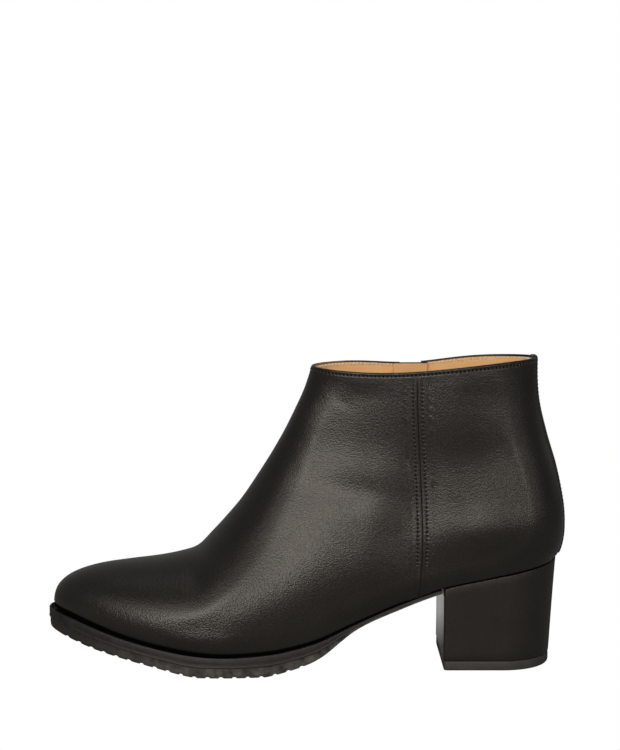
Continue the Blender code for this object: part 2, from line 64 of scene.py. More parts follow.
# The upper is a fan of ovals. Each oval runs from a base on the hem, or on the back seam above the
# heel seat, to a top on the ridge of toe, vamp, instep and shaft. Outer and inner are its widest
# points, the hem columns are where it is cut off at the sole, widest is how far up it is widest,
# and crown is the fullness of its top.
Section = namedtuple(
    "Section",
    "name base_x base_z top_x top_z centre outer inner hem_outer hem_inner widest crown",
)
SECTIONS = (
    Section("toe tip", 130.8, 26.9, 130.8, 26.9, -4.6, -4.6, -4.6, -4.6, -4.6, 0.24, 1.0),
    Section("toe end", 129.3, 26.8, 129.5, 35.6, -4.6, 2.4, -11.8, 1.9, -11.2, 0.24, 1.0),
    Section("toe round", 124.6, 26.2, 124.6, 41.4, -4.4, 9.8, -18.5, 8.8, -17.6, 0.23, 1.0),
    Section("toe box", 116.4, 24.7, 116.6, 45.5, -4.0, 17.2, -24.3, 16.0, -23.2, 0.22, 1.0),
    Section("toe back", 104.8, 21.5, 105.4, 48.6, -3.4, 24.4, -29.3, 23.0, -28.0, 0.195, 1.0),
    Section("vamp front", 90.0, 17.8, 91.5, 50.7, -2.7, 31.3, -34.4, 29.7, -32.8, 0.18, 1.0),
    Section("vamp", 74.0, 14.7, 77.0, 52.6, -2.0, 37.0, -38.2, 35.1, -36.3, 0.185, 1.02),
    Section("ball front", 58.0, 12.3, 65.0, 55.1, -1.5, 40.8, -40.3, 38.7, -38.2, 0.2, 1.05),
    Section("ball", 43.0, 11.3, 56.2, 58.4, -1.4, 42.0, -40.2, 39.8, -38.0, 0.235, 1.1),
    Section("throat", 28.0, 11.7, 49.0, 65.6, -1.4, 41.2, -38.2, 38.9, -35.7, 0.27, 1.14),
    Section("waist front", 12.0, 13.2, 41.5, 73.8, -1.4, 38.9, -35.2, 36.3, -31.8, 0.295, 1.15),
    Section("instep", -6.0, 17.5, 33.5, 83.4, -1.2, 36.2, -32.4, 33.0, -27.8, 0.285, 1.14),
    Section("waist", -25.0, 25.7, 25.5, 95.2, -0.9, 34.0, -30.8, 29.8, -24.8, 0.25, 1.1),
    Section("arch", -46.0, 34.3, 18.0, 107.1, -0.6, 32.8, -30.4, 27.6, -23.9, 0.21, 1.0),
    Section("seat front", -68.0, 41.9, 11.8, 118.0, -0.3, 31.7, -30.3, 27.1, -25.6, 0.175, 0.955),
    Section("seat", -91.0, 47.0, 7.2, 127.2, -0.1, 30.8, -30.2, 26.9, -26.6, 0.16, 0.92),
    Section("seat back", -111.0, 51.0, 4.0, 134.0, 0.0, 30.0, -29.8, 23.8, -23.6, 0.165, 0.9),
    Section("heel low", -123.0, 53.4, 2.0, 138.5, 0.0, 29.5, -29.4, 13.8, -13.8, 0.18, 0.887),
    Section("heel end", -127.4, 54.9, 0.8, 141.6, 0.0, 29.2, -29.2, 0.0, 0.0, 0.19, 0.881),
    Section("counter low", -129.9, 61.2, 0.0, 144.0, 0.0, 28.9, -28.9, 0.0, 0.0, 0.2, 0.874),
    Section("counter", -130.7, 70.5, -0.6, 145.8, 0.0, 28.45, -28.45, 0.0, 0.0, 0.215, 0.866),
    Section("counter top", -129.7, 83.5, -1.1, 147.4, 0.0, 27.85, -27.85, 0.0, 0.0, 0.235, 0.86),
    Section("tendon", -126.2, 100.5, -1.5, 148.8, 0.0, 27.0, -27.0, 0.0, 0.0, 0.265, 0.855),
    Section("ankle", -120.9, 118.2, -1.9, 150.0, 0.0, 26.1, -26.1, 0.0, 0.0, 0.305, 0.85),
    Section("shaft", -116.8, 136.0, -2.2, 151.0, 0.0, 25.2, -25.2, 0.0, 0.0, 0.355, 0.845),
    Section("collar", -115.9, 156.2, -2.5, 151.8, 0.0, 24.2, -24.2, 0.0, 0.0, 0.42, 0.84),
)
NAMES = [section.name for section in SECTIONS]
HEEL_END = NAMES.index("heel end")
COLLAR = NAMES.index("collar")
HEEL_ROUND = 0.9
CLOSED_TIP_SHARE = 0.95
WIDEST_HEM_SHARE = 0.985
FINE_STEPS = 25
SMOOTH_COLUMNS = ("outer", "inner", "widest", "crown")
SMOOTH_ROWS = 0.7
SMOOTH_FROM = 8.0
SMOOTH_BLEND = 3.0

# The collar line dips between its back and its front: how deep, how far forward and how narrow.
Dip = namedtuple("Dip", "depth forward narrow")
COLLAR_DIP = {OUTER: Dip(3.4, 1.5, 1.0), INNER: Dip(2.6, 1.15, 4.0)}

# Soft creases and ridges of the worn leather: a line on one side of the upper, seen from that side,
# with its half width and its height, which is negative for a trough.
Fold = namedtuple("Fold", "name side x z end_x end_z half height")
FOLD_END_SHARE = 0.35
FOLD_MIDLINE = 12.0
FOLDS = (
    Fold("ankle hollow", OUTER, -28.0, 73.0, -72.0, 69.0, 22.0, -2.5),
    Fold("shaft fullness", OUTER, 34.0, 131.0, -54.0, 130.0, 18.0, 2.6),
    Fold("front flare", OUTER, 24.0, 153.0, -52.0, 153.0, 13.0, 1.6),
    Fold("collar flare", OUTER, -60.0, 155.0, -125.0, 156.0, 23.0, 2.4),
    Fold("seam valley", OUTER, -55.0, 142.0, -57.5, 60.0, 9.0, -0.6),
    Fold("flex trough", OUTER, 4.0, 94.0, -52.0, 88.0, 8.0, -0.9),
    Fold("quarter hollow", OUTER, -60.0, 103.0, -124.0, 113.0, 14.0, -1.5),
    Fold("counter bulge", OUTER, -60.0, 68.0, -126.0, 76.0, 12.0, 2.1),
    Fold("shaft dent", OUTER, -16.0, 137.0, -21.0, 133.0, 2.6, -0.2),
    Fold("ankle wrinkle high", OUTER, -64.0, 141.0, -92.0, 138.0, 2.6, -0.05),
    Fold("ankle wrinkle", OUTER, -66.0, 135.0, -100.0, 131.5, 2.8, -0.06),
    Fold("ankle wrinkle low", OUTER, -70.0, 128.0, -106.0, 124.0, 3.0, -0.05),
    Fold("inner zip valley", INNER, -53.6, 142.0, -55.4, 60.0, 15.0, -0.9),
    Fold("inner counter bulge", INNER, -78.0, 64.0, -116.0, 68.0, 14.0, 1.2),
    Fold("inner flex trough", INNER, 0.0, 95.0, -36.0, 90.0, 7.0, -0.7),
    Fold("inner front ridge", INNER, -8.0, 128.0, -40.0, 130.0, 9.0, 0.7),
    Fold("inner quarter trough", INNER, -72.0, 122.0, -106.0, 106.0, 8.0, -0.5),
    Fold("inner quarter ridge", INNER, -68.0, 106.0, -102.0, 92.0, 9.0, 0.4),
)

# Grid on which the side walls are evened out.
WALL_STEP = 1.5
WALL_BLUR = 11.0
WALL_X = np.arange(-132.0, 133.0, WALL_STEP)
WALL_Z = np.arange(8.0, 161.0, WALL_STEP)
FACING_FROM = 0.6
FACING_BLEND = 0.3
COVERED_FROM = 0.72
COVERED_BLEND = 0.2

WALL = 2.2
LINING_EASE = 9.0
LINING_THICK = 0.6
LINING_TOE_ROW = 0.8
LINING_FOOT_RINGS = 110
LINING_SHAFT_RINGS = 56
LINING_STEPS = 49
LINING_TOP = 0.05
SKIN = 0.7
GAP = 0.3
FOOT_RINGS = 176
SHAFT_RINGS = 84
SIDE_STEPS = 78
HEM_TUCK = 1.0
TUCK_STEPS = (1.0, 0.5)

# The skin is sunk where a seam, a border or the folded collar covers it: how deep, how far out it
# stays that deep and over which distance it eases off. Near the collar, where the lining lies close
# behind, the seam's sink grows with the distance down.
Sink = namedtuple("Sink", "depth full ease")
SEAM_SINK = Sink(1.3, 1.2, 2.6)
ZIP_SINK = Sink(0.5, 7.8, 3.0)
COLLAR_SINK = Sink(0.5, 3.2, 3.6)
SINK_SLOPE = 0.09
ZIP_SINK_BELOW = 8.0

# The groove between the sole's raised lip and the upper, from the heel breast to the toe: where, how
# deep in the sole and how high on the upper. Low in the groove the upper takes painted shade.
GROOVE_X = (-69.0, -25.0, 12.0, 43.0, 90.0, 116.0, 134.0)
GROOVE_DEPTH = (0.2, 0.5, 1.0, 1.2, 1.5, 1.9, 2.0)
GROOVE_HIGH = (0.6, 0.7, 0.9, 1.1, 1.2, 1.9, 2.3)
GROOVE_IN = 0.8
GROOVE_FULL = 0.4
HEM_PARTS = (0.002, 0.004, 0.006, 0.009, 0.017, 0.021)

# The folded collar edge, as distances below the collar and heights out of the skin. The profiles of
# the seams below give distances across the seam and heights.
EDGE_ROLL = 0.65
COLLAR_STITCH = 1.9
COLLAR_STEPS = 420
COLLAR_OUTSIDE = (
    (8.5, -0.1), (8.4, -0.05), (7.2, 0.0), (6.0, 0.02), (4.6, 0.05), (3.4, 0.08),
    (2.9, 0.1), (2.5, 0.08), (2.2, 0.05), (1.9, 0.03), (1.6, 0.05), (1.3, 0.1), (1.0, 0.12),
)
COLLAR_INSIDE = ((0.75, 0.06), (0.95, -0.05), (1.4, -0.5))
COLLAR_THREAD_OUT = -0.02
LINING_STITCH = 1.6
LINING_THREAD_OUT = 0.25
ROLL_STEPS = 9
ROLL_OUT = 0.12

# The seam on the outer side, from its top down.
SEAM_X = (-54.7, -55.5, -56.8, -57.5, -56.6, -55.7)
SEAM_Z = (152.0, 112.0, 86.0, 67.0, 50.0, 35.0)
SEAM_CURVE = np.polyfit(SEAM_Z, SEAM_X, 3)
SEAM_STEPS = 440
SEAM_STITCH = 2.3
SEAM_STITCH_END = 55.0
SEAM_THREAD_OUT = 0.02
SEAM_FLAT_FROM = 1.7
SEAM_FLAT = 0.03
SEAM_PROFILE = (
    (5.9, -0.2), (5.72, -0.1), (5.4, -0.02), (5.0, 0.01), (4.5, 0.02), (4.1, 0.03), (3.6, 0.04), (3.2, 0.05),
    (2.85, 0.07), (2.55, 0.04), (2.3, 0.0), (2.05, 0.04), (1.8, 0.11), (1.4, 0.2), (0.95, 0.25), (0.55, 0.2),
    (0.3, 0.05), (0.12, -0.5),
)

ZIP_TOP = (-53.6, 150.2)
ZIP_END = (-55.4, 53.0)
ZIP_LENGTH = math.hypot(ZIP_TOP[0] - ZIP_END[0], ZIP_TOP[1] - ZIP_END[1])
SLOT_HALF = 5.5
SLOT_FOOT = 1.5
SKIN_SLOT = SLOT_HALF + 0.9
LINING_SLOT = SLOT_HALF + 0.5
TAPE_FACE = -1.0
TAPE_BACK = -1.9
TAPE_HALF = SLOT_HALF + 0.6
TAPE_STEPS = 60
TAPE_SHORT = 0.6
FLAP_HALF = 9.0
FLAP_THICK = 1.2
FLAP_ABOVE = 1.0
FLAP_EDGE = 0.4
FLAP_BELOW = 1.0
FLAP_FLAT = 3.0
FLAP_TURNS = 7
TOOTH_PITCH = 1.5
TOOTH_SIZE = (3.1, 0.9, 1.2)
TOOTH_EDGE = 0.3
TOOTH_FROM = 2.0
TOOTH_TO = 2.5
TOOTH_LIFT = -0.2
TOOTH_OUT = 1.15
ZIP_STITCH = 7.7
ZIP_BORDER = (
    (5.5, -1.9), (5.15, -1.5), (5.0, -0.9), (5.05, -0.4), (5.3, 0.0), (5.8, 0.22), (6.5, 0.28),
    (7.1, 0.18), (7.4, 0.03), (7.7, -0.05), (8.0, 0.03), (8.4, 0.12), (9.4, 0.08), (10.8, 0.02),
    (12.4, -0.06), (12.5, -0.1),
)
ZIP_STEPS = 300
ZIP_BORDER_BELOW = 5.5
ZIP_BORDER_SHORT = 1.2

# The tab across the zip's lower end: its profile along the zip, and its two rows of stitches.
ZIP_FOOT = (
    (-6.2, -0.5), (-5.8, 0.1), (-5.2, 0.36), (-3.2, 0.42), (-1.0, 0.42), (0.8, 0.4), (1.4, 0.1), (1.6, -1.2),
)
ZIP_FOOT_HALF = 8.8
ZIP_FOOT_STEPS = 30
ZIP_FOOT_EDGE = 0.97
ZIP_FOOT_DROP = 0.5
ZIP_FOOT_SKIN = 0.5
ZIP_FOOT_OUT = 0.42
ZIP_FOOT_ROWS = (-1.0, -3.2)
ZIP_FOOT_STITCH = np.linspace(1.2 - ZIP_STITCH, ZIP_STITCH - 1.2, 20)

BACKSTAY_START = 18.25
BACKSTAY_STITCH = 3.5
BACKSTAY_THREAD_OUT = 0.56
BACKSTAY_PROFILE = (
    (5.3, -0.3), (5.2, 0.2), (5.0, 0.5), (4.6, 0.72), (4.1, 0.74), (3.8, 0.6), (3.5, 0.48), (3.2, 0.6),
    (2.8, 0.78), (1.8, 0.88), (0.9, 0.92),
)
BACKSTAY_MIDDLE = (0.0, 0.94)
BACKSTAY_RINGS = 320
BACKSTAY_INSIDE = np.linspace(EDGE_ROLL + 0.8, 5.0, 5)
BACKSTAY_INSIDE_SHARE = 0.8

STRIP_SKIN = 0.4
SEAM_TOP_COVER = 4.2
THREAD = 0.27
LINING_THREAD = 0.5
STITCH_PITCH = 2.0
STITCH_LENGTH = 1.05
STITCH_SIDES = 8
# Rings of a stitch: shares of its half length and of the thread, and heights.
STITCH_RINGS = (
    (-1.0, 0.35, -0.36), (-0.86, 0.8, -0.14), (-0.5, 1.0, 0.05), (0.0, 1.06, 0.1), (0.5, 1.0, 0.05),
    (0.86, 0.8, -0.14), (1.0, 0.35, -0.36),
)
BEYOND = 0.5
# Needle holes: how deep they are pressed, their length and width, and the share of a hole above which a face
# takes painted shade.
HOLE_DEPTH = 0.5
HOLE_LONG = 0.58
HOLE_WIDE = 0.4
HOLE_SHADE = 0.36

# The sole, from toe to heel end: how far its edge stands out past the hem, its thickness at the
# middle, and how much higher its edge is than its middle. It is cut off flat at the floor.
Sole = namedtuple("Sole", "x lip thick roll")
SOLE = (
    Sole(134.0, 2.4, 9.8, 1.2),
    Sole(116.0, 2.6, 12.0, 1.6),
    Sole(90.0, 2.7, 11.0, 1.8),
    Sole(74.0, 2.7, 10.8, 1.6),
    Sole(58.0, 2.7, 11.5, 1.4),
    Sole(43.0, 2.7, 11.8, 1.4),
    Sole(28.0, 2.7, 12.2, 1.4),
    Sole(12.0, 2.6, 11.2, 1.4),
    Sole(-6.0, 2.1, 9.2, 1.0),
    Sole(-25.0, 1.1, 3.2, 0.5),
    Sole(-46.0, 0.6, 2.5, 0.3),
    Sole(-69.0, 0.2, 1.8, 0.2),
)
LIP_RIM = 1.1
PARTING_SHARE = 0.5
PARTING_STEP = 0.45
PARTING_BEAD = 0.12
TREAD_INSET = 6.0
TREAD_STEPS = 9
WALL_LINES = 12
LUG_PITCH = 6.6
LUG_COUNT = 19
LUG_FIRST_X = 121.5
LUG_GROOVE = 1.8
LUG_DEPTH = 1.9
LUG_SOFT = 0.3
LUG_END_X = -8.0
LUG_FADE = 12.0
EDGE_NOTCH_SHARE = 0.35
TOE_STATIONS = 46
TOE_ROWS = 2.4
SOLE_STEP = 0.55
SHARP_RUBBER = 50.0

INSOLE_INSET = 2.5
INSOLE_THICK = 2.2
INSOLE_STATIONS = 120
INSOLE_STEPS = 20
INSOLE_DISH = 0.8
INSOLE_EDGE = ((0.9, 0.0), (0.0, 0.5), (0.1, 1.5), (0.6, 2.3), (1.6, INSOLE_THICK + 0.2))

HEEL_BREAST_X = -68.3
HEEL_CORNER = 1.6
HEEL_TOP_HALF = 26.4
HEEL_TOP_BACK_X = -127.2
HEEL_FOOT_HALF = 25.6
HEEL_FOOT_BACK_X = -124.2
HEEL_CORNER_STEPS = 6
HEEL_SIDE_STEPS = 12
HEEL_BACK_STEPS = 30
TOP_PIECE_HEIGHT = 5.0
TOP_PIECE_INSET = 0.2
HEEL_FOOT = TOP_PIECE_HEIGHT + 0.05
BREAST_BELOW = 2.5

# Rings of the heel: how far down it, how far in and how much higher. Rings of the top piece: how far
# in and how high.
HEEL_LEVELS = (
    (0.0, 2.4, -0.5), (0.0, 1.0, -0.5), (0.0, 0.7, -0.3), (0.0, 0.5, -0.05), (0.0, 0.3, 0.0),
    (0.0, 0.08, -0.1), (0.0, 0.0, -0.4),
    *((part, 0.12 * math.sin(math.pi * part), 0.0) for part in (0.1, 0.3, 0.5, 0.7, 0.9)),
    (1.0, 0.0, 0.8), (1.0, 0.1, 0.42), (1.0, 0.35, 0.15), (1.0, 0.9, 0.02),
)
TOP_PIECE_LEVELS = (
    (3.0, 4.9), (0.7, 4.88), (0.3, 4.75), (0.08, 4.5), (0.0, 4.1), (0.0, 3.0), (0.0, 1.2), (0.12, 0.5),
    (0.4, 0.12), (0.8, 0.0), (3.0, 0.0),
)

# The camera stands level with the outer side and looks slightly down.
IMAGE_HEIGHT = 750.0
CAMERA_PLACE = (-1.5, 830.0, 233.8)
CAMERA_PITCH = 6.0
CAMERA_FOCAL_PIXELS = 1644.2
SENSOR = 36.0

# The patch of the floor that glows behind the boot: where it begins and is full, across and along.
FLOOR_GREY = 0.35
FLOOR_GLOW = 0.34
GLOW_BEHIND = (-20.0, -100.0)
GLOW_REAR = (-110.0, -80.0)
GLOW_FRONT = (30.0, 70.0)
WORLD_BEHIND = 0.2
WORLD_FRONT = 0.095

# In metres: half of the floor's width, the height at which the lights aim, and how far away and how
# large each softbox is, after its turn from +Y to the toe and its rise in degrees.
FLOOR_HALF = 30.0
LIGHT_HEIGHT = 0.07
WARM_LIGHT = (1.0, 0.9, 0.8)
Light = namedtuple("Light", "name turn rise away size brightness")
LIGHTS = (
    Light("low softbox", 18.5, 16.0, 1.7, (1.53, 0.46), 4.9),
    Light("high softbox", 20.0, 33.0, 1.7, (1.9, 0.6), 1.5),
    Light("heel softbox", -31.0, 12.0, 1.6, (0.76, 0.2), 4.4),
    Light("back softbox", -58.0, 12.0, 1.6, (0.74, 0.22), 1.3),
    Light("top softbox", 0.0, 86.0, 1.7, (1.4, 1.4), 0.56),
)


def smooth_step(value):
    value = np.clip(value, 0.0, 1.0)
    return value * value * (3.0 - 2.0 * value)


def between(start, end, part):
    return start + (end - start) * part


def row_curve(values, at):
    """Smooth curve through the rows of a table, read at fractional row numbers."""
    slopes = np.empty_like(values)
    slopes[1:-1] = (values[2:] - values[:-2]) / 2.0
    slopes[0] = (4.0 * values[1] - 3.0 * values[0] - values[2]) / 2.0
    slopes[-1] = (3.0 * values[-1] - 4.0 * values[-2] + values[-3]) / 2.0
    row = np.clip(at.astype(int), 0, len(values) - 2)
    part = (at - row)[:, None]
    rest = 1.0 - part
    start = values[row] * (1.0 + 2.0 * part) + slopes[row] * part
    end = values[row + 1] * (1.0 + 2.0 * rest) - slopes[row + 1] * rest
    return start * rest**2 + end * part**2


def bell(step, width):
    """Weights of a bell curve that add up to one, at steps of a width."""
    reach = int(3.0 * width / step)
    weights = np.exp(-0.5 * (np.arange(-reach, reach + 1) * step / width) ** 2)
    return weights / weights.sum()


def evened(column):
    """The column of a fine table with its bends from row to row evened out."""
    weights = bell(1.0 / FINE_STEPS, SMOOTH_ROWS)
    padded = np.pad(column, len(weights) // 2, mode="reflect", reflect_type="odd")
    return np.convolve(padded, weights, mode="valid")


PLACES = np.linspace(0.0, COLLAR, COLLAR * FINE_STEPS + 1)


def fine_columns():
    fine = row_curve(np.array([section[1:] for section in SECTIONS]), PLACES)
    columns = dict(zip(Section._fields[1:], fine.T))
    weight = smooth_step((PLACES - SMOOTH_FROM) / SMOOTH_BLEND)
    for name in SMOOTH_COLUMNS:
        columns[name] = columns[name] + weight * (evened(columns[name]) - columns[name])
    return columns


COLUMNS = fine_columns()


def section_at(at):
    return Section("", *(np.interp(at, PLACES, COLUMNS[name]) for name in Section._fields[1:]))


def side_half(section, side):
    return np.abs((section.outer if side == OUTER else section.inner) - section.centre)


def hem_y(section, side):
    return section.hem_outer if side == OUTER else section.hem_inner


def start_angle(section, at, side):
    """Angle at which the oval is cut off by the hem; above the heel end it is whole."""
    half = side_half(section, side)
    hem = np.abs(hem_y(section, side) - section.centre)
    share = np.clip(hem / np.maximum(half, GAP), 0.0, WIDEST_HEM_SHARE)
    share = np.where(half > GAP, share, CLOSED_TIP_SHARE)
    return np.where(at >= HEEL_END, 0.0, np.arcsin(share ** (1.0 / HEEL_ROUND)))


def collar_dip(at, rise, side):
    reach = np.maximum(0.0, (at - HEEL_END) / (COLLAR - HEEL_END))
    dip = COLLAR_DIP[side]
    return dip.depth * reach**2 * np.sin(math.pi * rise**dip.forward) ** dip.narrow


def oval_points(at, angle, side):
    """Points of the upper's outer face, at rows and at angles from the base to pi on top."""
    section = section_at(at)
    low = angle < math.pi / 2.0
    start = start_angle(section, at, side)
    rise_low = section.widest * (1.0 - np.cos(angle) / np.cos(start))
    rise_high = section.widest - (1.0 - section.widest) * np.cos(angle)
    rise = np.clip(np.where(low, rise_low, rise_high), 0.0, 1.0)
    sine = np.clip(np.sin(angle), 0.0, 1.0)
    spread = np.where(low, sine**HEEL_ROUND, sine**section.crown)
    x = section.base_x + rise * (section.top_x - section.base_x)
    z = section.base_z + rise * (section.top_z - section.base_z) - collar_dip(at, rise, side)
    y = section.centre + side * side_half(section, side) * spread
    return np.stack((x, y, z), -1)


def unit(vectors):
    return vectors / np.maximum(np.linalg.norm(vectors, axis=-1, keepdims=True), 1e-9)


def face(at, angle, side):
    """Points and outward directions on the upper's outer face."""
    at, angle = np.broadcast_arrays(np.asarray(at, float), np.asarray(angle, float))
    start = start_angle(section_at(at), at, side)
    fore = oval_points(np.clip(at + NEAR, 0.05, COLLAR), angle, side)
    aft = oval_points(np.clip(at - NEAR, 0.02, COLLAR), angle, side)
    over = oval_points(at, np.clip(angle + NEAR, start, math.pi), side)
    under = oval_points(at, np.clip(angle - NEAR, start, math.pi), side)
    out = unit(np.cross(fore - aft, over - under)) * side
    return oval_points(at, angle, side), out


def locate(x, z, side):
    """Row and angle of the upper's outer face where it is seen from the side at x and z."""
    x, z = np.broadcast_arrays(np.asarray(x, float), np.asarray(z, float))

    def ahead(at):
        section = section_at(at)
        run_x = section.top_x - section.base_x
        run_z = section.top_z - section.base_z
        length = np.maximum(run_x**2 + run_z**2, 1e-9)
        reach = np.clip(((x - section.base_x) * run_x + (z - section.base_z) * run_z) / length, 0.0, 1.0)
        lifted = z + collar_dip(at, reach, side) - section.base_z
        reach = np.clip(((x - section.base_x) * run_x + lifted * run_z) / length, 0.0, 1.0)
        return lifted * run_x - (x - section.base_x) * run_z, reach

    low, high = np.zeros(x.shape), np.full(x.shape, float(COLLAR))
    for _ in range(HALVINGS):
        middle = (low + high) / 2.0
        before = ahead(middle)[0] > 0.0
        low, high = np.where(before, middle, low), np.where(before, high, middle)
    at = (low + high) / 2.0
    rise = ahead(at)[1]
    section = section_at(at)
    start = start_angle(section, at, side)
    lower = np.arccos(np.clip((1.0 - rise / section.widest) * np.cos(start), -1.0, 1.0))
    upper = np.arccos(np.clip((section.widest - rise) / (1.0 - section.widest), -1.0, 1.0))
    return at, np.where(rise < section.widest, lower, upper)


def blurred(field):
    """Field on the wall's grid after a soft blur both ways."""
    for axis in (0, 1):
        field = np.apply_along_axis(np.convolve, axis, field, bell(WALL_STEP, WALL_BLUR), mode="same")
    return field


def wall_evening(side):
    """Evened wall of one side on a grid of x and z, and how much it counts there."""
    x, z = np.meshgrid(WALL_X, WALL_Z, indexing="ij")
    points, normals = face(*locate(x, z, side), side)
    away = np.hypot(points[..., 0] - x, points[..., 2] - z)
    weight = smooth_step((side * normals[..., 1] - FACING_FROM) / FACING_BLEND) * (away < WALL_STEP)
    share = np.maximum(blurred(weight), 1e-6)
    once = blurred(weight * points[..., 1]) / share
    twice = blurred(weight * once) / share
    counts = weight * smooth_step((share - COVERED_FROM) / COVERED_BLEND)
    return np.stack((2.0 * once - twice, counts), -1)


EVENING = {side: wall_evening(side) for side in (OUTER, INNER)}


def soft_weights(part):
    """Weights of the four grid places round a part of a step, for a smooth reading."""
    rest = 1.0 - part
    return (rest**3 / 6.0, (3.0 * part**3 - 6.0 * part**2 + 4.0) / 6.0,
            (3.0 * rest**3 - 6.0 * rest**2 + 4.0) / 6.0, part**3 / 6.0)


def wall_change(points, side):
    """How far points on the wall move out to even out the bends between its rows."""
    across = np.clip((points[..., 0] - WALL_X[0]) / WALL_STEP, 1.0, len(WALL_X) - 3.001)
    up = np.clip((points[..., 2] - WALL_Z[0]) / WALL_STEP, 1.0, len(WALL_Z) - 3.001)
    column, row = across.astype(int), up.astype(int)
    found = np.zeros((*column.shape, 2))
    for i, weight in enumerate(soft_weights(across - column)):
        for j, other in enumerate(soft_weights(up - row)):
            found += EVENING[side][column + i - 1, row + j - 1] * (weight * other)[..., None]
    return side * (found[..., 0] - points[..., 1]) * found[..., 1]


def relief(points, side):
    """Height of the soft creases and ridges at points on one side of the upper."""
    height = wall_change(points, side)
    for fold in FOLDS:
        if fold.side != side:
            continue
        start = np.array((fold.x, fold.z))
        run = np.array((fold.end_x, fold.end_z)) - start
        gone = points[..., (0, 2)] - start
        part = np.clip(gone @ run / (run @ run), 0.0, 1.0)
        away = np.linalg.norm(gone - part[..., None] * run, axis=-1) / fold.half
        fade = FOLD_END_SHARE + (1.0 - FOLD_END_SHARE) * np.sin(math.pi * part) ** 2
        height += fold.height * np.exp(-(away**2)) * fade
    return height * smooth_step(side * points[..., 1] / FOLD_MIDLINE)


def skin(at, angle, side, out=0.0):
    """Points on the leather's face with its creases, at heights out of it."""
    points, normals = face(at, angle, side)
    height = relief(points, side) + out
    return points + normals * height[..., None]


def seam_x(z):
    return np.polyval(SEAM_CURVE, z)


def zip_x(part):
    return between(ZIP_END[0], ZIP_TOP[0], part)


def zip_across(x, z):
    return x - zip_x((z - ZIP_END[1]) / (ZIP_TOP[1] - ZIP_END[1]))


def zip_points(along, across, out, creased=True):
    """Points beside the zip: along it from its lower end, across it, and out of the inner wall."""
    along, across, out = np.broadcast_arrays(*(np.asarray(value, float) for value in (along, across, out)))
    past = np.maximum(0.0, along - ZIP_LENGTH)
    if np.any(past > 0.0):
        inside = zip_points(np.minimum(along, ZIP_LENGTH), across, out, creased)
        below = zip_points(np.minimum(along, ZIP_LENGTH) - 1.0, across, out, creased)
        return inside + unit(inside - below) * past[..., None]
    part = along / ZIP_LENGTH
    at, angle = locate(zip_x(part) + across, between(ZIP_END[1], ZIP_TOP[1], part), INNER)
    if creased:
        return skin(at, angle, INNER, out)
    points, normals = face(at, angle, INNER)
    return points + normals * out[..., None]


def below_collar(angle, side, down):
    """Rows that lie at distances below the collar, at angles round it."""
    angle, down = np.broadcast_arrays(np.asarray(angle, float), np.asarray(down, float))
    rows = np.linspace(COLLAR, COLLAR - 2.0, 41)
    lines = oval_points(rows[:, None], angle.ravel()[None, :], side)
    steps = np.linalg.norm(np.diff(lines, axis=0), axis=-1)
    lengths = np.vstack((np.zeros(steps.shape[1]), np.cumsum(steps, 0)))
    found = [np.interp(d, lengths[:, i], rows) for i, d in enumerate(down.ravel())]
    return np.array(found).reshape(down.shape)


def over_collar(angle, side, zone, value, out):
    """Points on the collar: outside or inside at a distance below it, or at a turn round its roll."""
    if zone == "roll":
        at = below_collar(angle, side, EDGE_ROLL)
        points, normals = face(at, angle, side)
        up = unit(points - face(at - 0.1, angle, side)[0])
        spoke = normals * math.cos(value) + up * math.sin(value)
        points = points + normals * relief(points, side)[..., None]
        return points - normals * EDGE_ROLL + spoke * (EDGE_ROLL + out)
    at = below_collar(angle, side, value)
    return skin(at, angle, side, out if zone == "outside" else -2.0 * EDGE_ROLL - out)


def hem_points(at, side):
    section = section_at(at)
    return np.stack((section.base_x, hem_y(section, side)), -1)


def hem_outward(at, side):
    """Level directions out of the hem."""
    run = hem_points(np.minimum(at + NEAR, HEEL_END), side) - hem_points(np.maximum(at - NEAR, 0.0), side)
    run = unit(run)
    return np.stack((run[..., 1], -run[..., 0]), -1) * side


def hem_row(x):
    foot = PLACES <= HEEL_END
    return np.interp(-x, -COLUMNS["base_x"][foot], PLACES[foot])


def hem_height(x):
    return np.interp(hem_row(x), PLACES, COLUMNS["base_z"])


def sole_row(x):
    fine = row_curve(np.array(SOLE), np.linspace(0.0, len(SOLE) - 1.0, 200))
    return Sole(*(np.interp(-x, -fine[:, 0], column) for column in fine.T))


def sole_top(x):
    return hem_height(x) - GAP


def grid_faces(grid, closed=False):
    """Faces of a grid of points; a closed grid joins its last column to its first."""
    rows, columns = grid.shape[:2]
    row = np.arange(rows - 1)[:, None]
    column = np.arange(columns if closed else columns - 1)[None, :]
    after = (column + 1) % columns
    corners = (row * columns + column, row * columns + after,
               (row + 1) * columns + after, (row + 1) * columns + column)
    return np.stack(np.broadcast_arrays(*corners), -1).reshape(-1, 4)


def tube_faces(grid, closed=True):
    """Faces of a grid of points, and of a cap over each of its ends."""
    rows, size = grid.shape[:2]
    faces = [tuple(item) for item in grid_faces(grid, closed)]
    return faces + [tuple(range(size)), tuple(range((rows - 1) * size, rows * size))]


def make_mesh(name, points, faces, sharp, marks):
    """Mesh with smooth faces; marks gives each face the number of its material."""
    mesh = bpy.data.meshes.new(name)
    mesh.from_pydata((np.asarray(points).reshape(-1, 3) * MM).tolist(), [], [tuple(item) for item in faces])
    if marks is not None:
        mesh.polygons.foreach_set("material_index", np.asarray(marks, np.int32))
    shape = bmesh.new()
    shape.from_mesh(mesh)
    bmesh.ops.remove_doubles(shape, verts=shape.verts, dist=0.002 * MM)
    bmesh.ops.recalc_face_normals(shape, faces=shape.faces)
    shape.to_mesh(mesh)
    shape.free()
    mesh.shade_smooth()
    mesh.set_sharp_from_angle(angle=math.radians(sharp))
    return mesh


def flip_to(mesh, outside):
    """Turns all faces round if the first of them looks away from a point outside."""
    first = mesh.polygons[0]
    if first.normal.dot(Vector(outside) * MM - first.center) < 0.0:
        mesh.flip_normals()


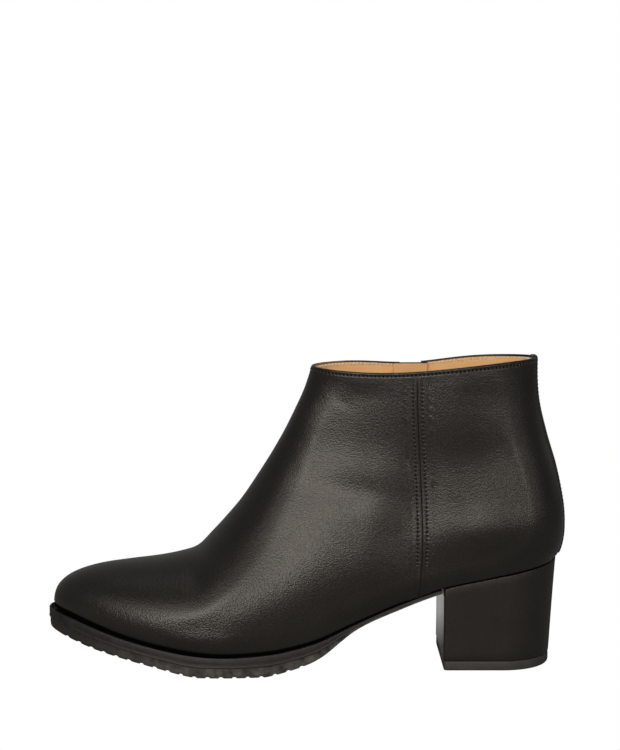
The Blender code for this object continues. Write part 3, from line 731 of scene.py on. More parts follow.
def add_object(name, data):
    made = bpy.data.objects.new(name, data)
    bpy.context.scene.collection.objects.link(made)
    return made


def add_piece(name, points, faces, finish, slot, node=None, second=None, marks=None, sharp=60.0,
              outside=None, thick=0.0):
    """Piece of the boot in place of a node. A thick piece gets its wall behind its face, and its first
    face looks to a point outside."""
    mesh = make_mesh(name, points, faces, sharp, marks)
    if outside:
        flip_to(mesh, outside)
    piece = add_object(name, mesh)
    mesh.materials.append(finish)
    if second:
        mesh.materials.append(second)
    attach(piece, "boot")
    if node:
        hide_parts(node)
    if thick:
        wall = piece.modifiers.new("wall", "SOLIDIFY")
        wall.thickness = thick * MM
        wall.offset = -1.0
    return mesh


def path_length(points):
    """Distance of each point of a line from its start, along it."""
    steps = np.linalg.norm(np.diff(points, axis=0), axis=-1)
    return np.concatenate(((0.0,), np.cumsum(steps)))


def read_line(where, length, points):
    return np.stack([np.interp(where, length, points[:, axis]) for axis in range(3)], -1)


def needle_holes(line, away):
    """How much of a needle hole is at each place of a grid: the line is the row of stitches, and away
    is each place's distance from it."""
    length = path_length(line)
    pitch = length[-1] / int(length[-1] / STITCH_PITCH)
    along = np.abs((length / pitch + 0.5) % 1.0 - 0.5) * pitch
    return np.exp(-((along[:, None] / HOLE_LONG) ** 2) - (away / HOLE_WIDE) ** 2)


def face_marks(holes):
    """Material number of each face of a grid, from how much of a hole or groove is at its corners: faces
    above the share take painted shade.
    """
    corners = holes[:-1, :-1] + holes[1:, :-1] + holes[:-1, 1:] + holes[1:, 1:]
    return (corners.ravel() / 4.0 > HOLE_SHADE).astype(int)


def stitch_points(path, beyond, thread=THREAD):
    """Rings of small sunk capsules along a seam, as one array per stitch. Beyond is the same path farther
    out, which shows the way out of the seam."""
    length = path_length(path)
    count = int(length[-1] / STITCH_PITCH)
    places = (np.arange(count) + 0.5) * length[-1] / count
    near = STITCH_PITCH / 4.0
    along = unit(read_line(places + near, length, path) - read_line(places - near, length, path))
    shares = np.linspace(0.0, 1.0, len(path))
    out = unit(read_line(places / length[-1], shares, unit(beyond - path)))
    out = unit(out - along * np.sum(out * along, -1, keepdims=True))
    across = np.cross(along, out)
    reach, width, lift = np.array(STITCH_RINGS).T[..., None]
    turns = np.arange(STITCH_SIDES) * 2.0 * math.pi / STITCH_SIDES
    spread = width * thread * np.cos(turns)
    height = lift + width * thread * np.sin(turns)
    points = read_line(places, length, path)[:, None, None]
    points = points + along[:, None, None] * (reach * STITCH_LENGTH / 2.0)[..., None]
    points = points + across[:, None, None] * spread[..., None]
    return points + out[:, None, None] * height[..., None]


def stitch_pair(points_at, rows, across, out):
    """Two rows of stitches at a distance on both sides of a seam."""
    return [stitch_points(points_at(rows, sign * across, out), points_at(rows, sign * across, out + BEYOND))
            for sign in (-1.0, 1.0)]


def repeated(copies, faces):
    """Points and faces of many copies of the same faces."""
    size = copies[0].size // 3
    everything = [tuple(corner + number * size for corner in item)
                  for number in range(len(copies)) for item in faces]
    return np.concatenate([copy.reshape(-1, 3) for copy in copies]), everything


def stitch_shapes(runs):
    stitches = np.concatenate(runs)
    return repeated(stitches, tube_faces(stitches[0]))


# Materials


def feed(tree, node, inputs):
    """Links or sets inputs of a node, by their names or numbers."""
    for name, value in inputs.items():
        if isinstance(value, bpy.types.NodeSocket):
            tree.links.new(value, node.inputs[name])
        else:
            node.inputs[name].default_value = value


def add_node(tree, kind, inputs, output=0, **settings):
    """Output of a new node."""
    node = tree.nodes.new(kind)
    for name, value in settings.items():
        setattr(node, name, value)
    feed(tree, node, inputs)
    return node.outputs[output]


def new_material(name):
    """Material with its node tree, its shader and the place on the object in millimetres."""
    made = bpy.data.materials.new(name)
    made.use_nodes = True
    tree = made.node_tree
    place = add_node(tree, "ShaderNodeTexCoord", {}, "Object")
    place = add_node(tree, "ShaderNodeMapping", {"Vector": place, "Scale": (1.0 / MM,) * 3})
    return made, tree, tree.nodes["Principled BSDF"], place


def noise(tree, place, size, detail=3.0, roughness=0.55):
    """Soft noise whose lumps have about the given size in millimetres."""
    inputs = {"Vector": place, "Scale": 1.0 / size, "Detail": detail, "Roughness": roughness}
    return add_node(tree, "ShaderNodeTexNoise", inputs, "Fac")


def map_range(tree, value, low, high, to_low=0.0, to_high=1.0):
    inputs = {"Value": value, "From Min": low, "From Max": high, "To Min": to_low, "To Max": to_high}
    return add_node(tree, "ShaderNodeMapRange", inputs, "Result")


def spread_out(tree, value, to_low=0.0, to_high=1.0):
    """The usual range of a noise, spread over a range of its own."""
    return map_range(tree, value, 0.3, 0.7, to_low, to_high)


def combine(tree, operation, first, *others):
    for other in others:
        first = add_node(tree, "ShaderNodeMath", {0: first, 1: other}, operation=operation)
    return first


def two_tone(tree, share, dark, light):
    inputs = {"Factor": share, 6: (*dark, 1.0), 7: (*light, 1.0)}
    return add_node(tree, "ShaderNodeMix", inputs, 2, data_type="RGBA")


def shaded(colour, share):
    return tuple(share * part for part in colour)


def bump(tree, height, depth):
    """Bump whose height of one stands for a depth in millimetres."""
    return add_node(tree, "ShaderNodeBump", {"Height": height, "Strength": 1.0, "Distance": depth * MM})


def leather_material(name, dark, light, roughness, pebble, depth, coat=0.0):
    """Finished leather: pebbled grain with fine pores, and a finish that is uneven in gloss."""
    made, tree, shader, place = new_material(name)
    wobble = add_node(tree, "ShaderNodeTexNoise", {"Vector": place, "Scale": 0.9, "Detail": 2.0}, "Color")
    warped = add_node(tree, "ShaderNodeVectorMath", {0: wobble, 1: (0.6, 0.6, 0.6), 2: place},
                      operation="MULTIPLY_ADD")
    cells = {"Vector": warped, "Scale": 1.0 / pebble, "Smoothness": 0.45}
    cells = add_node(tree, "ShaderNodeTexVoronoi", cells, "Distance", feature="SMOOTH_F1")
    grain = map_range(tree, cells, 0.0, 0.75, 1.0, 0.0)
    pores = combine(tree, "MULTIPLY", noise(tree, place, 0.28, 2.0), 0.45)
    lumps = combine(tree, "MULTIPLY", noise(tree, place, 5.0, 2.0), 0.16)
    patches = spread_out(tree, noise(tree, place, 9.0, 4.0), -0.02, 0.02)
    creases = map_range(tree, grain, 0.1, 0.45, 0.08, 0.0)
    specks = map_range(tree, noise(tree, place, 0.25, 1.5), 0.5, 0.64, 0.0, 0.2)
    feed(tree, shader, {
        "Base Color": two_tone(tree, spread_out(tree, noise(tree, place, 22.0, 3.0)), dark, light),
        "Roughness": combine(tree, "ADD", patches, roughness, creases, specks),
        "Normal": bump(tree, combine(tree, "ADD", grain, pores, lumps), depth),
        "Coat Weight": coat,
        "Coat Roughness": 0.22,
    })
    return made


def rubber_material(name, dark, light, roughness, dark_toe_from=None):
    """Moulded rubber with a mottled face, lighter in patches; with a start in x given, the lighter patches
    fade out towards the toe.
    """
    made, tree, shader, place = new_material(name)
    patches = noise(tree, place, 5.0, 5.0, 0.6)
    share = map_range(tree, patches, 0.35, 0.68)
    if dark_toe_from:
        x = add_node(tree, "ShaderNodeSeparateXYZ", {"Vector": place}, "X")
        share = combine(tree, "MULTIPLY", share, map_range(tree, x, dark_toe_from, dark_toe_from + 50.0, 1.0, 0.0))
    height = combine(tree, "ADD", noise(tree, place, 0.5, 3.0), combine(tree, "MULTIPLY", patches, 1.2))
    feed(tree, shader, {
        "Base Color": two_tone(tree, share, dark, light),
        "Roughness": spread_out(tree, patches, roughness - 0.08, roughness + 0.08),
        "Normal": bump(tree, height, 0.12),
    })
    return made


def thread_material(name, colour, roughness, shade=0.55):
    made, tree, shader, place = new_material(name)
    fibres = noise(tree, place, 0.12, 2.0)
    feed(tree, shader, {
        "Base Color": two_tone(tree, spread_out(tree, fibres), shaded(colour, shade), colour),
        "Roughness": roughness,
        "Normal": bump(tree, fibres, 0.05),
    })
    return made


def cloth_material(name, colour):
    """Woven zip tape: fine ribs across it and finer threads along it."""
    made, tree, shader, place = new_material(name)
    ribs, threads = (
        add_node(tree, "ShaderNodeTexWave", {"Vector": place, "Scale": scale}, "Fac", bands_direction=way)
        for scale, way in ((0.55, "Z"), (0.8, "X")))
    weave = combine(tree, "MULTIPLY", ribs, threads)
    feed(tree, shader, {
        "Base Color": two_tone(tree, weave, shaded(colour, 0.4), colour),
        "Roughness": 0.8,
        "Normal": bump(tree, weave, 0.12),
    })
    return made


def metal_material(name, colour, roughness):
    made, tree, shader, place = new_material(name)
    wear = noise(tree, place, 2.5, 5.0, 0.6)
    feed(tree, shader, {
        "Base Color": two_tone(tree, map_range(tree, wear, 0.35, 0.7), shaded(colour, 0.6), colour),
        "Roughness": spread_out(tree, wear, roughness - 0.07, roughness + 0.12),
        "Metallic": 1.0,
        "Normal": bump(tree, noise(tree, place, 0.4, 3.0), 0.02),
    })
    return made


def painted_hole_shade_material(name):
    """Painted shade: a near-black, dull colour for the insides of the needle holes and the folds of the
    seams and of the hem's groove, where shade falls.
    """
    made, tree, shader, place = new_material(name)
    share = spread_out(tree, noise(tree, place, 0.3, 2.0))
    feed(tree, shader, {
        "Base Color": two_tone(tree, share, (0.0012, 0.0012, 0.0012), (0.003, 0.003, 0.003)),
        "Roughness": 0.9,
        "Specular IOR Level": 0.05,
    })
    return made


def make_finishes():
    black, soft_black = (0.0148, 0.0143, 0.0127), (0.019, 0.0185, 0.0168)
    return SimpleNamespace(
        leather=leather_material("black leather", black, soft_black, 0.15, 0.75, 0.066),
        edge=leather_material("black leather edges", black, soft_black, 0.42, 0.6, 0.08, 0.1),
        # Painted shade for the needle holes, the seam folds and the hem's groove.
        hole=painted_hole_shade_material("painted hole shade"),
        heel=leather_material("black heel cover", black, soft_black, 0.32, 0.5, 0.02),
        breast=leather_material("black heel breast", black, soft_black, 0.1, 0.5, 0.003, 1.0),
        lining=leather_material("tan lining", (0.92, 0.545, 0.235), (0.97, 0.63, 0.31), 0.6, 0.5, 0.05),
        sock=leather_material("tan insole", (0.5, 0.24, 0.09), (0.66, 0.34, 0.14), 0.62, 0.6, 0.07),
        rubber=rubber_material("sole rubber", (0.011, 0.011, 0.0112), (0.022, 0.0215, 0.021), 0.5),
        tread=rubber_material("pale tread rubber", (0.026, 0.026, 0.0255), (0.14, 0.138, 0.134), 0.7, 62.0),
        lift=rubber_material("heel rubber", (0.048, 0.048, 0.047), (0.066, 0.066, 0.065), 0.6),
        thread=thread_material("black thread", (0.07, 0.068, 0.064), 0.45),
        pale=thread_material("pale thread", (0.98, 0.93, 0.82), 0.6, 0.85),
        cloth=cloth_material("zip tape", (0.018, 0.018, 0.019)),
        coil=metal_material("zip teeth", (0.16, 0.155, 0.15), 0.34),
        metal=metal_material("zip metal", (0.3, 0.29, 0.28), 0.28),
    )


# Pieces of the upper


def wall_side(rows, parts, side):
    """Rows, points, outward directions and distances below the collar over one side of the upper, at
    parts of the way from the hem to the ridge."""
    start = start_angle(section_at(rows), rows, side)
    at = np.repeat(rows[:, None], len(parts), 1)
    angle = start[:, None] + (math.pi - start)[:, None] * parts
    points, normals = face(at, angle, side)
    return at, points, normals, np.linalg.norm(points - points[-1:], axis=-1)


def ring_rows(first, foot_rings, last, shaft_rings):
    """Rows over the foot up to the heel end, then up the shaft."""
    foot = np.linspace(first, HEEL_END, foot_rings)
    return np.concatenate((foot, np.linspace(HEEL_END, last, shaft_rings)[1:]))


def both_walls(outer, inner):
    """Grid over both sides, from the outer hem over the ridge to the inner hem."""
    return np.concatenate((outer, inner[:, -2::-1]), 1)


def slot_faces(grid, half):
    """Faces of a grid over both sides, and which of them stay outside the zip's slot."""
    faces = grid_faces(grid)
    x, y, z = grid.reshape(-1, 3)[faces].mean(1).T
    return faces, (np.abs(zip_across(x, z)) >= half) | (z <= ZIP_END[1] + SLOT_FOOT) | (y >= 0.0)


def eased(away, sink):
    return sink.depth * (1.0 - smooth_step((away - sink.full) / sink.ease))


def sunk(points, side):
    """How far the skin lies below its face under the seam or the zip's borders."""
    x, z = points[..., 0], points[..., 2]
    if side == OUTER:
        return eased(np.abs(x - seam_x(z)), SEAM_SINK)
    return np.where(z > ZIP_END[1] - ZIP_SINK_BELOW, eased(np.abs(zip_across(x, z)), ZIP_SINK), 0.0)


def skin_side(rows, side):
    """Grid of skin points on one side, from the tucked hem to the ridge, and the groove's share there, which
    marks the faces that take painted shade.
    """
    parts = np.union1d(np.linspace(0.0, 1.0, SIDE_STEPS + 1), HEM_PARTS)
    at, points, normals, down = wall_side(rows, parts, side)
    edge = np.where(at > COLLAR - 1.0, eased(down, COLLAR_SINK), 0.0)
    cover = np.minimum(sunk(points, side), COLLAR_SINK.depth + SINK_SLOPE * down)
    up = np.linalg.norm(points - points[:, :1], axis=-1)
    foot = (rows < HEEL_END)[:, None]
    high = np.interp(points[:, :1, 0], GROOVE_X, GROOVE_HIGH)
    groove = np.where(foot, 1.0 - smooth_step(up / high - GROOVE_FULL), 0.0)
    height = relief(points, side) - np.maximum(cover, edge) - GROOVE_IN * groove
    points = points + normals * height[..., None]
    outward = hem_outward(np.minimum(rows, HEEL_END), side) * HEM_TUCK
    inward = np.column_stack((outward, np.interp(points[:, 0, 0], GROOVE_X, GROOVE_DEPTH))) * foot
    tucks = [(points[:, 0] - inward * step)[:, None] for step in TUCK_STEPS]
    shade = np.concatenate((np.repeat(groove[:, :1], len(tucks), 1), groove), 1)
    return np.concatenate((*tucks, points), 1), shade


def build_skin(finishes):
    rows = ring_rows(0.0, FOOT_RINGS + 1, COLLAR, SHAFT_RINGS + 1)
    (outer, outer_shade), (inner, inner_shade) = skin_side(rows, OUTER), skin_side(rows, INNER)
    grid = both_walls(outer, inner)
    faces, kept = slot_faces(grid, SKIN_SLOT)
    # Faces low in the hem's groove take the second material, painted shade.
    marks = face_marks(both_walls(outer_shade, inner_shade))
    add_piece("upper_leather", grid, faces[kept], finishes.leather, "black_leather", "upper", finishes.hole,
              marks[kept], outside=(200.0, 0.0, 26.0), thick=SKIN)


def collar_angles():
    """Sides and angles round the collar, from the zip round the back and the outer side to the zip."""
    fine = np.linspace(0.0, math.pi, 400)
    places = oval_points(np.full(fine.shape, float(COLLAR)), fine, INNER)[:, 0]
    rear, front = np.interp((ZIP_TOP[0] - SLOT_HALF, ZIP_TOP[0] + SLOT_HALF), places, fine)
    short = COLLAR_STEPS // 2
    return (
        (INNER, np.linspace(rear, 0.0, short)),
        (OUTER, np.linspace(0.0, math.pi, COLLAR_STEPS)),
        (INNER, np.linspace(math.pi, front, short)),
    )


def collar_line(zone, value, out):
    """Line of points along the whole collar."""
    lines = [over_collar(angles, side, zone, value, out) for side, angles in collar_angles()]
    return np.concatenate((lines[0][:-1], lines[1], lines[2][1:]))


def collar_stitch_line():
    return [collar_line("outside", COLLAR_STITCH, out) for out in (COLLAR_THREAD_OUT, BEYOND)]


def build_collar(finishes):
    lines = [collar_line("outside", down, out) for down, out in COLLAR_OUTSIDE]
    lines += [collar_line("roll", math.pi * step / ROLL_STEPS, ROLL_OUT) for step in range(ROLL_STEPS + 1)]
    lines += [collar_line("inside", down, out) for down, out in COLLAR_INSIDE]
    grid = np.stack(lines, 1)
    outside, beyond = collar_stitch_line()
    holes = np.zeros(grid.shape[:2])
    holes[:, :len(COLLAR_OUTSIDE)] = needle_holes(outside, np.array(COLLAR_OUTSIDE)[:, 0] - COLLAR_STITCH)
    grid -= unit(beyond - outside)[:, None, :] * holes[..., None] * HOLE_DEPTH
    # Faces round the needle holes take the second material, painted shade.
    add_piece("collar_edge", grid, tube_faces(grid, closed=False), finishes.leather, "black_leather",
              second=finishes.hole, marks=[*face_marks(holes), 0, 0])


def both_sides(profile, *middle):
    """Profile across a seam from its one half, as arrays of distance and height."""
    return np.array([(-across, out) for across, out in profile] + [*middle, *profile[::-1]]).T


def add_strip(name, grid, holes, outside, finishes, node=None):
    # Faces round the needle holes take the second material, painted shade.
    add_piece(name, grid, grid_faces(grid), finishes.leather, "black_leather", node, finishes.hole,
              face_marks(holes), outside=outside, thick=STRIP_SKIN)


def seam_points(z, across, out):
    at, angle = locate(seam_x(z) + across, z, OUTER)
    return skin(at, angle, OUTER, out)


def seam_rows():
    return np.linspace(min(SEAM_Z), max(SEAM_Z) - SEAM_TOP_COVER, SEAM_STEPS)


def build_side_seam(finishes):
    """Strip over the outer seam. Its first face, at its foot, turns its wall outwards, so that the
    points lie lower by the wall."""
    z = seam_rows()
    across, out = both_sides(SEAM_PROFILE)
    stitched = z >= SEAM_STITCH_END
    holes = np.zeros((len(z), len(across)))
    line = seam_points(z[stitched], SEAM_STITCH, 0.0)
    holes[stitched] = needle_holes(line, np.abs(across) - SEAM_STITCH)
    raised = stitched[:, None] | (np.abs(across) <= SEAM_FLAT_FROM)
    flat = np.where(raised, out, np.minimum(out, SEAM_FLAT))
    grid = seam_points(z[:, None], across, flat - HOLE_DEPTH * holes - STRIP_SKIN)
    add_strip("side_seam", grid, holes, (-55.0, 300.0, 90.0), finishes)


def zip_rows():
    return np.linspace(-ZIP_BORDER_BELOW, ZIP_LENGTH - ZIP_BORDER_SHORT, ZIP_STEPS)


def build_zip_borders(finishes):
    along = zip_rows()
    across, out = np.array(ZIP_BORDER).T
    for name, sign in (("zip_border_front", 1.0), ("zip_border_rear", -1.0)):
        holes = needle_holes(zip_points(along, sign * ZIP_STITCH, 0.0), across - ZIP_STITCH)
        grid = zip_points(along[:, None], sign * across, out - HOLE_DEPTH * holes)
        add_strip(name, grid, holes, (-55.0, -300.0, 90.0), finishes)


def build_zip_foot(finishes):
    """Small tab across the zip's lower end."""
    along, out = np.array(ZIP_FOOT).T
    across = np.linspace(-1.0, 1.0, ZIP_FOOT_STEPS)[:, None]
    drop = np.where(np.abs(across) > ZIP_FOOT_EDGE, ZIP_FOOT_DROP, 0.0)
    grid = zip_points(along, ZIP_FOOT_HALF * across, out - drop)
    add_piece("zip_foot", grid, grid_faces(grid), finishes.edge, "black_leather",
              outside=(-55.0, -300.0, 60.0), thick=ZIP_FOOT_SKIN)


def backstay_angle(at, across, side):
    share = np.abs(across) / side_half(section_at(at), side)
    return np.arcsin(np.clip(share, 0.0, 1.0) ** (1.0 / HEEL_ROUND))


def backstay_points(at, across, out):
    """Points near the back seam, at distances across it."""
    outer, inner = (skin(at, backstay_angle(at, across, side), side, out) for side in (OUTER, INNER))
    return np.where(np.broadcast_to(across, outer.shape[:-1])[..., None] > 0.0, outer, inner)


def backstay_over(across, out, zone, value):
    """Line of points across the back strip where it goes over the collar."""
    line = []
    for place, height in zip(across, out):
        side = OUTER if place > 0.0 else INNER
        line.append(over_collar(backstay_angle(COLLAR, place, side), side, zone, value, height))
    return np.stack(line)


def backstay_rows():
    return np.linspace(BACKSTAY_START, below_collar(0.1, OUTER, EDGE_ROLL), BACKSTAY_RINGS)


def build_backstay(finishes):
    across, out = both_sides(BACKSTAY_PROFILE, BACKSTAY_MIDDLE)
    rows = backstay_rows()
    held = needle_holes(backstay_points(rows, BACKSTAY_STITCH, 0.0), np.abs(across) - BACKSTAY_STITCH)
    grid = list(backstay_points(rows[:, None], across, out - HOLE_DEPTH * held))
    for step in range(1, ROLL_STEPS + 1):
        grid.append(backstay_over(across, out, "roll", math.pi * step / ROLL_STEPS))
    for down in BACKSTAY_INSIDE:
        grid.append(backstay_over(across, out * BACKSTAY_INSIDE_SHARE, "inside", down))
    grid = np.stack(grid)
    holes = np.zeros(grid.shape[:2])
    holes[:len(rows)] = held
    add_strip("back_strip", grid, holes, (-300.0, 0.0, 60.0), finishes, "backstay")


def build_stitches(finishes):
    outside, beyond = collar_stitch_line()
    z = seam_rows()
    runs = [stitch_points(outside, beyond)]
    runs += stitch_pair(seam_points, z[z >= SEAM_STITCH_END], SEAM_STITCH, SEAM_THREAD_OUT - STRIP_SKIN)
    runs += stitch_pair(zip_points, zip_rows(), ZIP_STITCH, 0.0)
    runs += stitch_pair(backstay_points, backstay_rows(), BACKSTAY_STITCH, BACKSTAY_THREAD_OUT)
    for row in ZIP_FOOT_ROWS:
        path, farther = (zip_points(row, ZIP_FOOT_STITCH, ZIP_FOOT_OUT + out) for out in (0.0, BEYOND))
        runs.append(stitch_points(path, farther))
    add_piece("seam_stitches", *stitch_shapes(runs), finishes.thread, "black_leather")
    inside = collar_line("inside", LINING_STITCH, LINING_THREAD_OUT)
    run = stitch_points(inside, inside + outside - beyond, LINING_THREAD)
    add_piece("lining_stitches", *stitch_shapes([run]), finishes.pale, "tan_lining")


def lining_side(rows, side):
    at, points, normals, down = wall_side(rows, np.linspace(0.0, 1.0, LINING_STEPS), side)
    near = np.where(at > COLLAR - 2.0, 1.0 - smooth_step(down / LINING_EASE), 0.0)
    depth = WALL - (WALL - 2.0 * EDGE_ROLL) * near - relief(points, side)
    return points - normals * depth[..., None]


def build_lining(finishes):
    rows = ring_rows(LINING_TOE_ROW, LINING_FOOT_RINGS, COLLAR - LINING_TOP, LINING_SHAFT_RINGS)
    grid = both_walls(lining_side(rows, OUTER), lining_side(rows, INNER))
    faces, kept = slot_faces(grid, LINING_SLOT)
    add_piece("lining", grid, faces[kept], finishes.lining, "tan_lining", outside=(40.0, 0.0, 30.0),
              thick=LINING_THICK)


def zip_tube(along, profile):
    """Grid of a profile across the zip that is carried along it, without the skin's creases."""
    across, out = np.array(profile).T
    return zip_points(along[:, None], across, out, creased=False)


def build_zip_flap(finishes):
    """Lining flap behind the zip, with rounded edges."""
    high, low = -WALL - GAP, -WALL - GAP - FLAP_THICK
    middle, radius = (high + low) / 2.0, FLAP_THICK / 2.0
    turns = np.linspace(-math.pi / 2.0, math.pi / 2.0, FLAP_TURNS)
    side = [(FLAP_HALF - radius + radius * math.cos(turn), middle + radius * math.sin(turn))
            for turn in turns]
    profile = [*side, (FLAP_FLAT, high), (-FLAP_FLAT, high)]
    profile += [*((-across, out) for across, out in side[::-1]), (-FLAP_FLAT, low), (FLAP_FLAT, low)]
    top = ZIP_LENGTH + FLAP_ABOVE
    grid = zip_tube(np.append(np.linspace(-FLAP_BELOW, top - FLAP_EDGE, TAPE_STEPS), top), profile)
    faces = tube_faces(grid)
    # The top row and the end cap are dark, in the black edge leather.
    marks = np.zeros(len(faces), int)
    marks[-2 - len(profile):-2] = 1
    marks[-1] = 1
    add_piece("zip_flap_leather", grid, faces, finishes.lining, "tan_lining", "zip_flap", finishes.edge,
              marks)


def rounded_block(size, edge):
    """Corner points and faces of a block with rounded edges, round its middle."""
    shape = bmesh.new()
    bmesh.ops.create_cube(shape, size=1.0)
    for corner in shape.verts:
        corner.co = Vector(a * b for a, b in zip(corner.co, size))
    bmesh.ops.bevel(shape, geom=shape.edges[:], offset=edge, segments=2, profile=0.5, affect="EDGES")
    points = np.array([corner.co for corner in shape.verts])
    faces = [tuple(corner.index for corner in item.verts) for item in shape.faces]
    shape.free()
    return points, faces


def build_zip(finishes):
    profile = [(-TAPE_HALF, TAPE_BACK), (TAPE_HALF, TAPE_BACK), (TAPE_HALF, TAPE_FACE), (0.0, TAPE_FACE),
               (-TAPE_HALF, TAPE_FACE)]
    grid = zip_tube(np.linspace(0.0, ZIP_LENGTH - TAPE_SHORT, TAPE_STEPS), profile)
    add_piece("zip_tape", grid, tube_faces(grid), finishes.cloth, "zip_cloth", "zip")
    block, block_faces = rounded_block(TOOTH_SIZE, TOOTH_EDGE)
    teeth = []
    for sign, shift in ((1.0, 0.5), (-1.0, 1.0)):
        places = np.arange(TOOTH_PITCH * shift + TOOTH_FROM, ZIP_LENGTH - TOOTH_TO, TOOTH_PITCH)
        centre, further, farther_out = (
            zip_points(places + ahead, sign * TOOTH_OUT, TOOTH_LIFT + out, creased=False)
            for ahead, out in ((0.0, 0.0), (0.5, 0.0), (0.0, 0.5)))
        ahead, out = unit(further - centre), unit(farther_out - centre)
        axes = np.stack((np.cross(ahead, out), ahead, out), 1)
        teeth += list(centre[:, None] + block @ axes)
    add_piece("zip_teeth", *repeated(teeth, block_faces), finishes.coil, "zip_metal")


# Sole, heel and insole


def across_foot(outer, inner, steps):
    """Points between the outer and the inner side, without the ends."""
    parts = np.linspace(0.0, 1.0, steps + 2)[1:-1]
    return [between(outer, inner, part) for part in parts]


def lug_groove(x):
    """One in the middle of a groove between two lugs, zero on the lugs and under the arch."""
    number = np.clip(np.round((LUG_FIRST_X - x) / LUG_PITCH), 0, LUG_COUNT - 1)
    away = np.abs(x - (LUG_FIRST_X - LUG_PITCH * number))
    groove = 1.0 - smooth_step((away - LUG_GROOVE / 2.0 + LUG_SOFT) / (2.0 * LUG_SOFT))
    return groove * np.clip((x - LUG_END_X) / LUG_FADE, 0.0, 1.0)


def sole_side(at, side):
    """Lines of points round one edge of the sole, from its hidden top over the lip to the tread."""
    hem, outward = hem_points(at, side), hem_outward(at, side)
    row = sole_row(hem[:, 0])
    top = sole_top(hem[:, 0])
    bottom = np.maximum(0.0, top - row.thick)
    wall = top - bottom - row.roll
    part = np.clip(wall / 6.0, 0.12, 1.0)
    rim = np.minimum(LIP_RIM, 0.42 * row.lip)
    deep = np.interp(hem[:, 0], GROOVE_X, GROOVE_DEPTH)
    parting = top - wall * PARTING_SHARE
    step, bead = PARTING_STEP * part, PARTING_BEAD * part
    # How far in from the lip, how high, and the share of the lugs' depth.
    profile = (
        (row.lip + 3.0, top - deep, 0.0),
        (rim + 0.8, top - deep, 0.0),
        (rim + 0.3, top - 0.6 * deep, 0.0),
        (rim, top - 0.16 * part, 0.0),
        (0.6 * rim, top, 0.0),
        (0.12 * rim + 0.02, top - 0.1 * part, 0.0),
        (0.0, top - 0.4 * part, 0.0),
        (0.06 * part, top - 0.3 * wall, 0.0),
        (0.0, parting + 0.45 * part, 0.0),
        (-bead, parting + 0.2 * part, 0.0),
        (-bead, parting, 0.0),
        (0.6 * step, parting - 0.25 * part, 0.0),
        (step, parting - 0.5 * part, 0.0),
        (step, bottom + row.roll + 0.3 * wall * (1.0 - PARTING_SHARE), 0.25),
        (step + 0.15 * part, bottom + row.roll * 0.9, EDGE_NOTCH_SHARE),
        (step + 0.9 * part, bottom + row.roll * 0.5, EDGE_NOTCH_SHARE),
        (2.4 * part + step, bottom + row.roll * 0.25, 0.85),
        (TREAD_INSET * np.clip(part * 2.0, 0.3, 1.0), bottom, 1.0),
    )
    lines = []
    for inset, height, notch in profile:
        plan = hem + outward * (row.lip - inset)[:, None]
        lines.append(np.column_stack((plan, height + LUG_DEPTH * notch * lug_groove(plan[:, 0]))))
    return lines


def build_outsole(finishes):
    toe = np.linspace(0.0, TOE_ROWS, TOE_STATIONS)
    start = float(np.interp(TOE_ROWS, PLACES, COLUMNS["base_x"]))
    at = np.concatenate((toe, hem_row(np.arange(start - SOLE_STEP, HEEL_BREAST_X + GAP, -SOLE_STEP))))
    outer, inner = sole_side(at, OUTER), sole_side(at, INNER)
    tread = across_foot(outer[-1], inner[-1], TREAD_STEPS)
    cover = across_foot(inner[0], outer[0], TREAD_STEPS)
    grid = np.stack((*outer, *tread, *inner[::-1], *cover), 1)
    # Only the heel end has a cap.
    faces = tube_faces(grid)
    del faces[-2]
    # The lower wall and the tread take the paler, mottled rubber.
    pale_tread_faces = np.zeros((len(at) - 1, grid.shape[1]), int)
    pale_tread_faces[:, WALL_LINES:2 * len(outer) + TREAD_STEPS - WALL_LINES - 1] = 1
    add_piece("outsole_rubber", grid, faces, finishes.rubber, "sole_rubber", "outsole", finishes.tread,
              [*pale_tread_faces.ravel(), 0], SHARP_RUBBER)


def insole_side(at, side):
    lines = []
    for inset, height in INSOLE_EDGE:
        plan = hem_points(at, side) - hem_outward(at, side) * (INSOLE_INSET + inset)
        lines.append(np.column_stack((plan, hem_height(plan[:, 0]) + height)))
    return lines


def build_insole(finishes):
    at = np.linspace(0.0, HEEL_END, INSOLE_STATIONS)
    outer, inner = insole_side(at, OUTER), insole_side(at, INNER)
    over = across_foot(outer[-1], inner[-1], INSOLE_STEPS)
    for number, points in enumerate(over):
        spread = 2.0 * (number + 1.0) / (INSOLE_STEPS + 1.0) - 1.0
        points[:, 2] -= INSOLE_DISH * (1.0 - spread**2)
    under = across_foot(inner[0], outer[0], 1)
    grid = np.stack((*outer, *over, *inner[::-1], *under), 1)
    add_piece("insole_sock", grid, grid_faces(grid, closed=True), finishes.sock, "tan_lining", "insole")


def heel_ring(half, back_x, inset, height):
    """Ring of the heel: a flat breast, two straight sides and a round back, paired across the foot."""
    half -= inset
    breast = HEEL_BREAST_X - inset
    middle = back_x + inset + half
    turn = np.linspace(0.0, math.pi / 2.0, HEEL_CORNER_STEPS + 1)
    side_x = np.linspace(breast - HEEL_CORNER, middle, HEEL_SIDE_STEPS + 1)[1:-1]
    back = np.linspace(0.0, math.pi / 2.0, HEEL_BACK_STEPS + 1)
    x = np.concatenate((breast - HEEL_CORNER * (1.0 - np.cos(turn)), side_x, middle - half * np.sin(back)))
    corner = half - HEEL_CORNER * (1.0 - np.sin(turn))
    y = np.concatenate((corner, np.full(side_x.shape, half), half * np.cos(back)))
    side = np.column_stack((x, y, height(x)))
    return np.concatenate((side, side[-2::-1] * (1.0, -1.0, 1.0)))


def ring_faces(rings):
    """Faces of a closed body through rings that are paired across the foot, with rungs over its ends."""
    size = rings.shape[1]
    faces = [tuple(item) for item in grid_faces(rings, closed=True)]
    for base in (0, size * (len(rings) - 1)):
        for step in range(size // 2):
            far = size - 1 - step
            faces.append(tuple(dict.fromkeys((base + step, base + step + 1, base + far - 1, base + far))))
    return faces


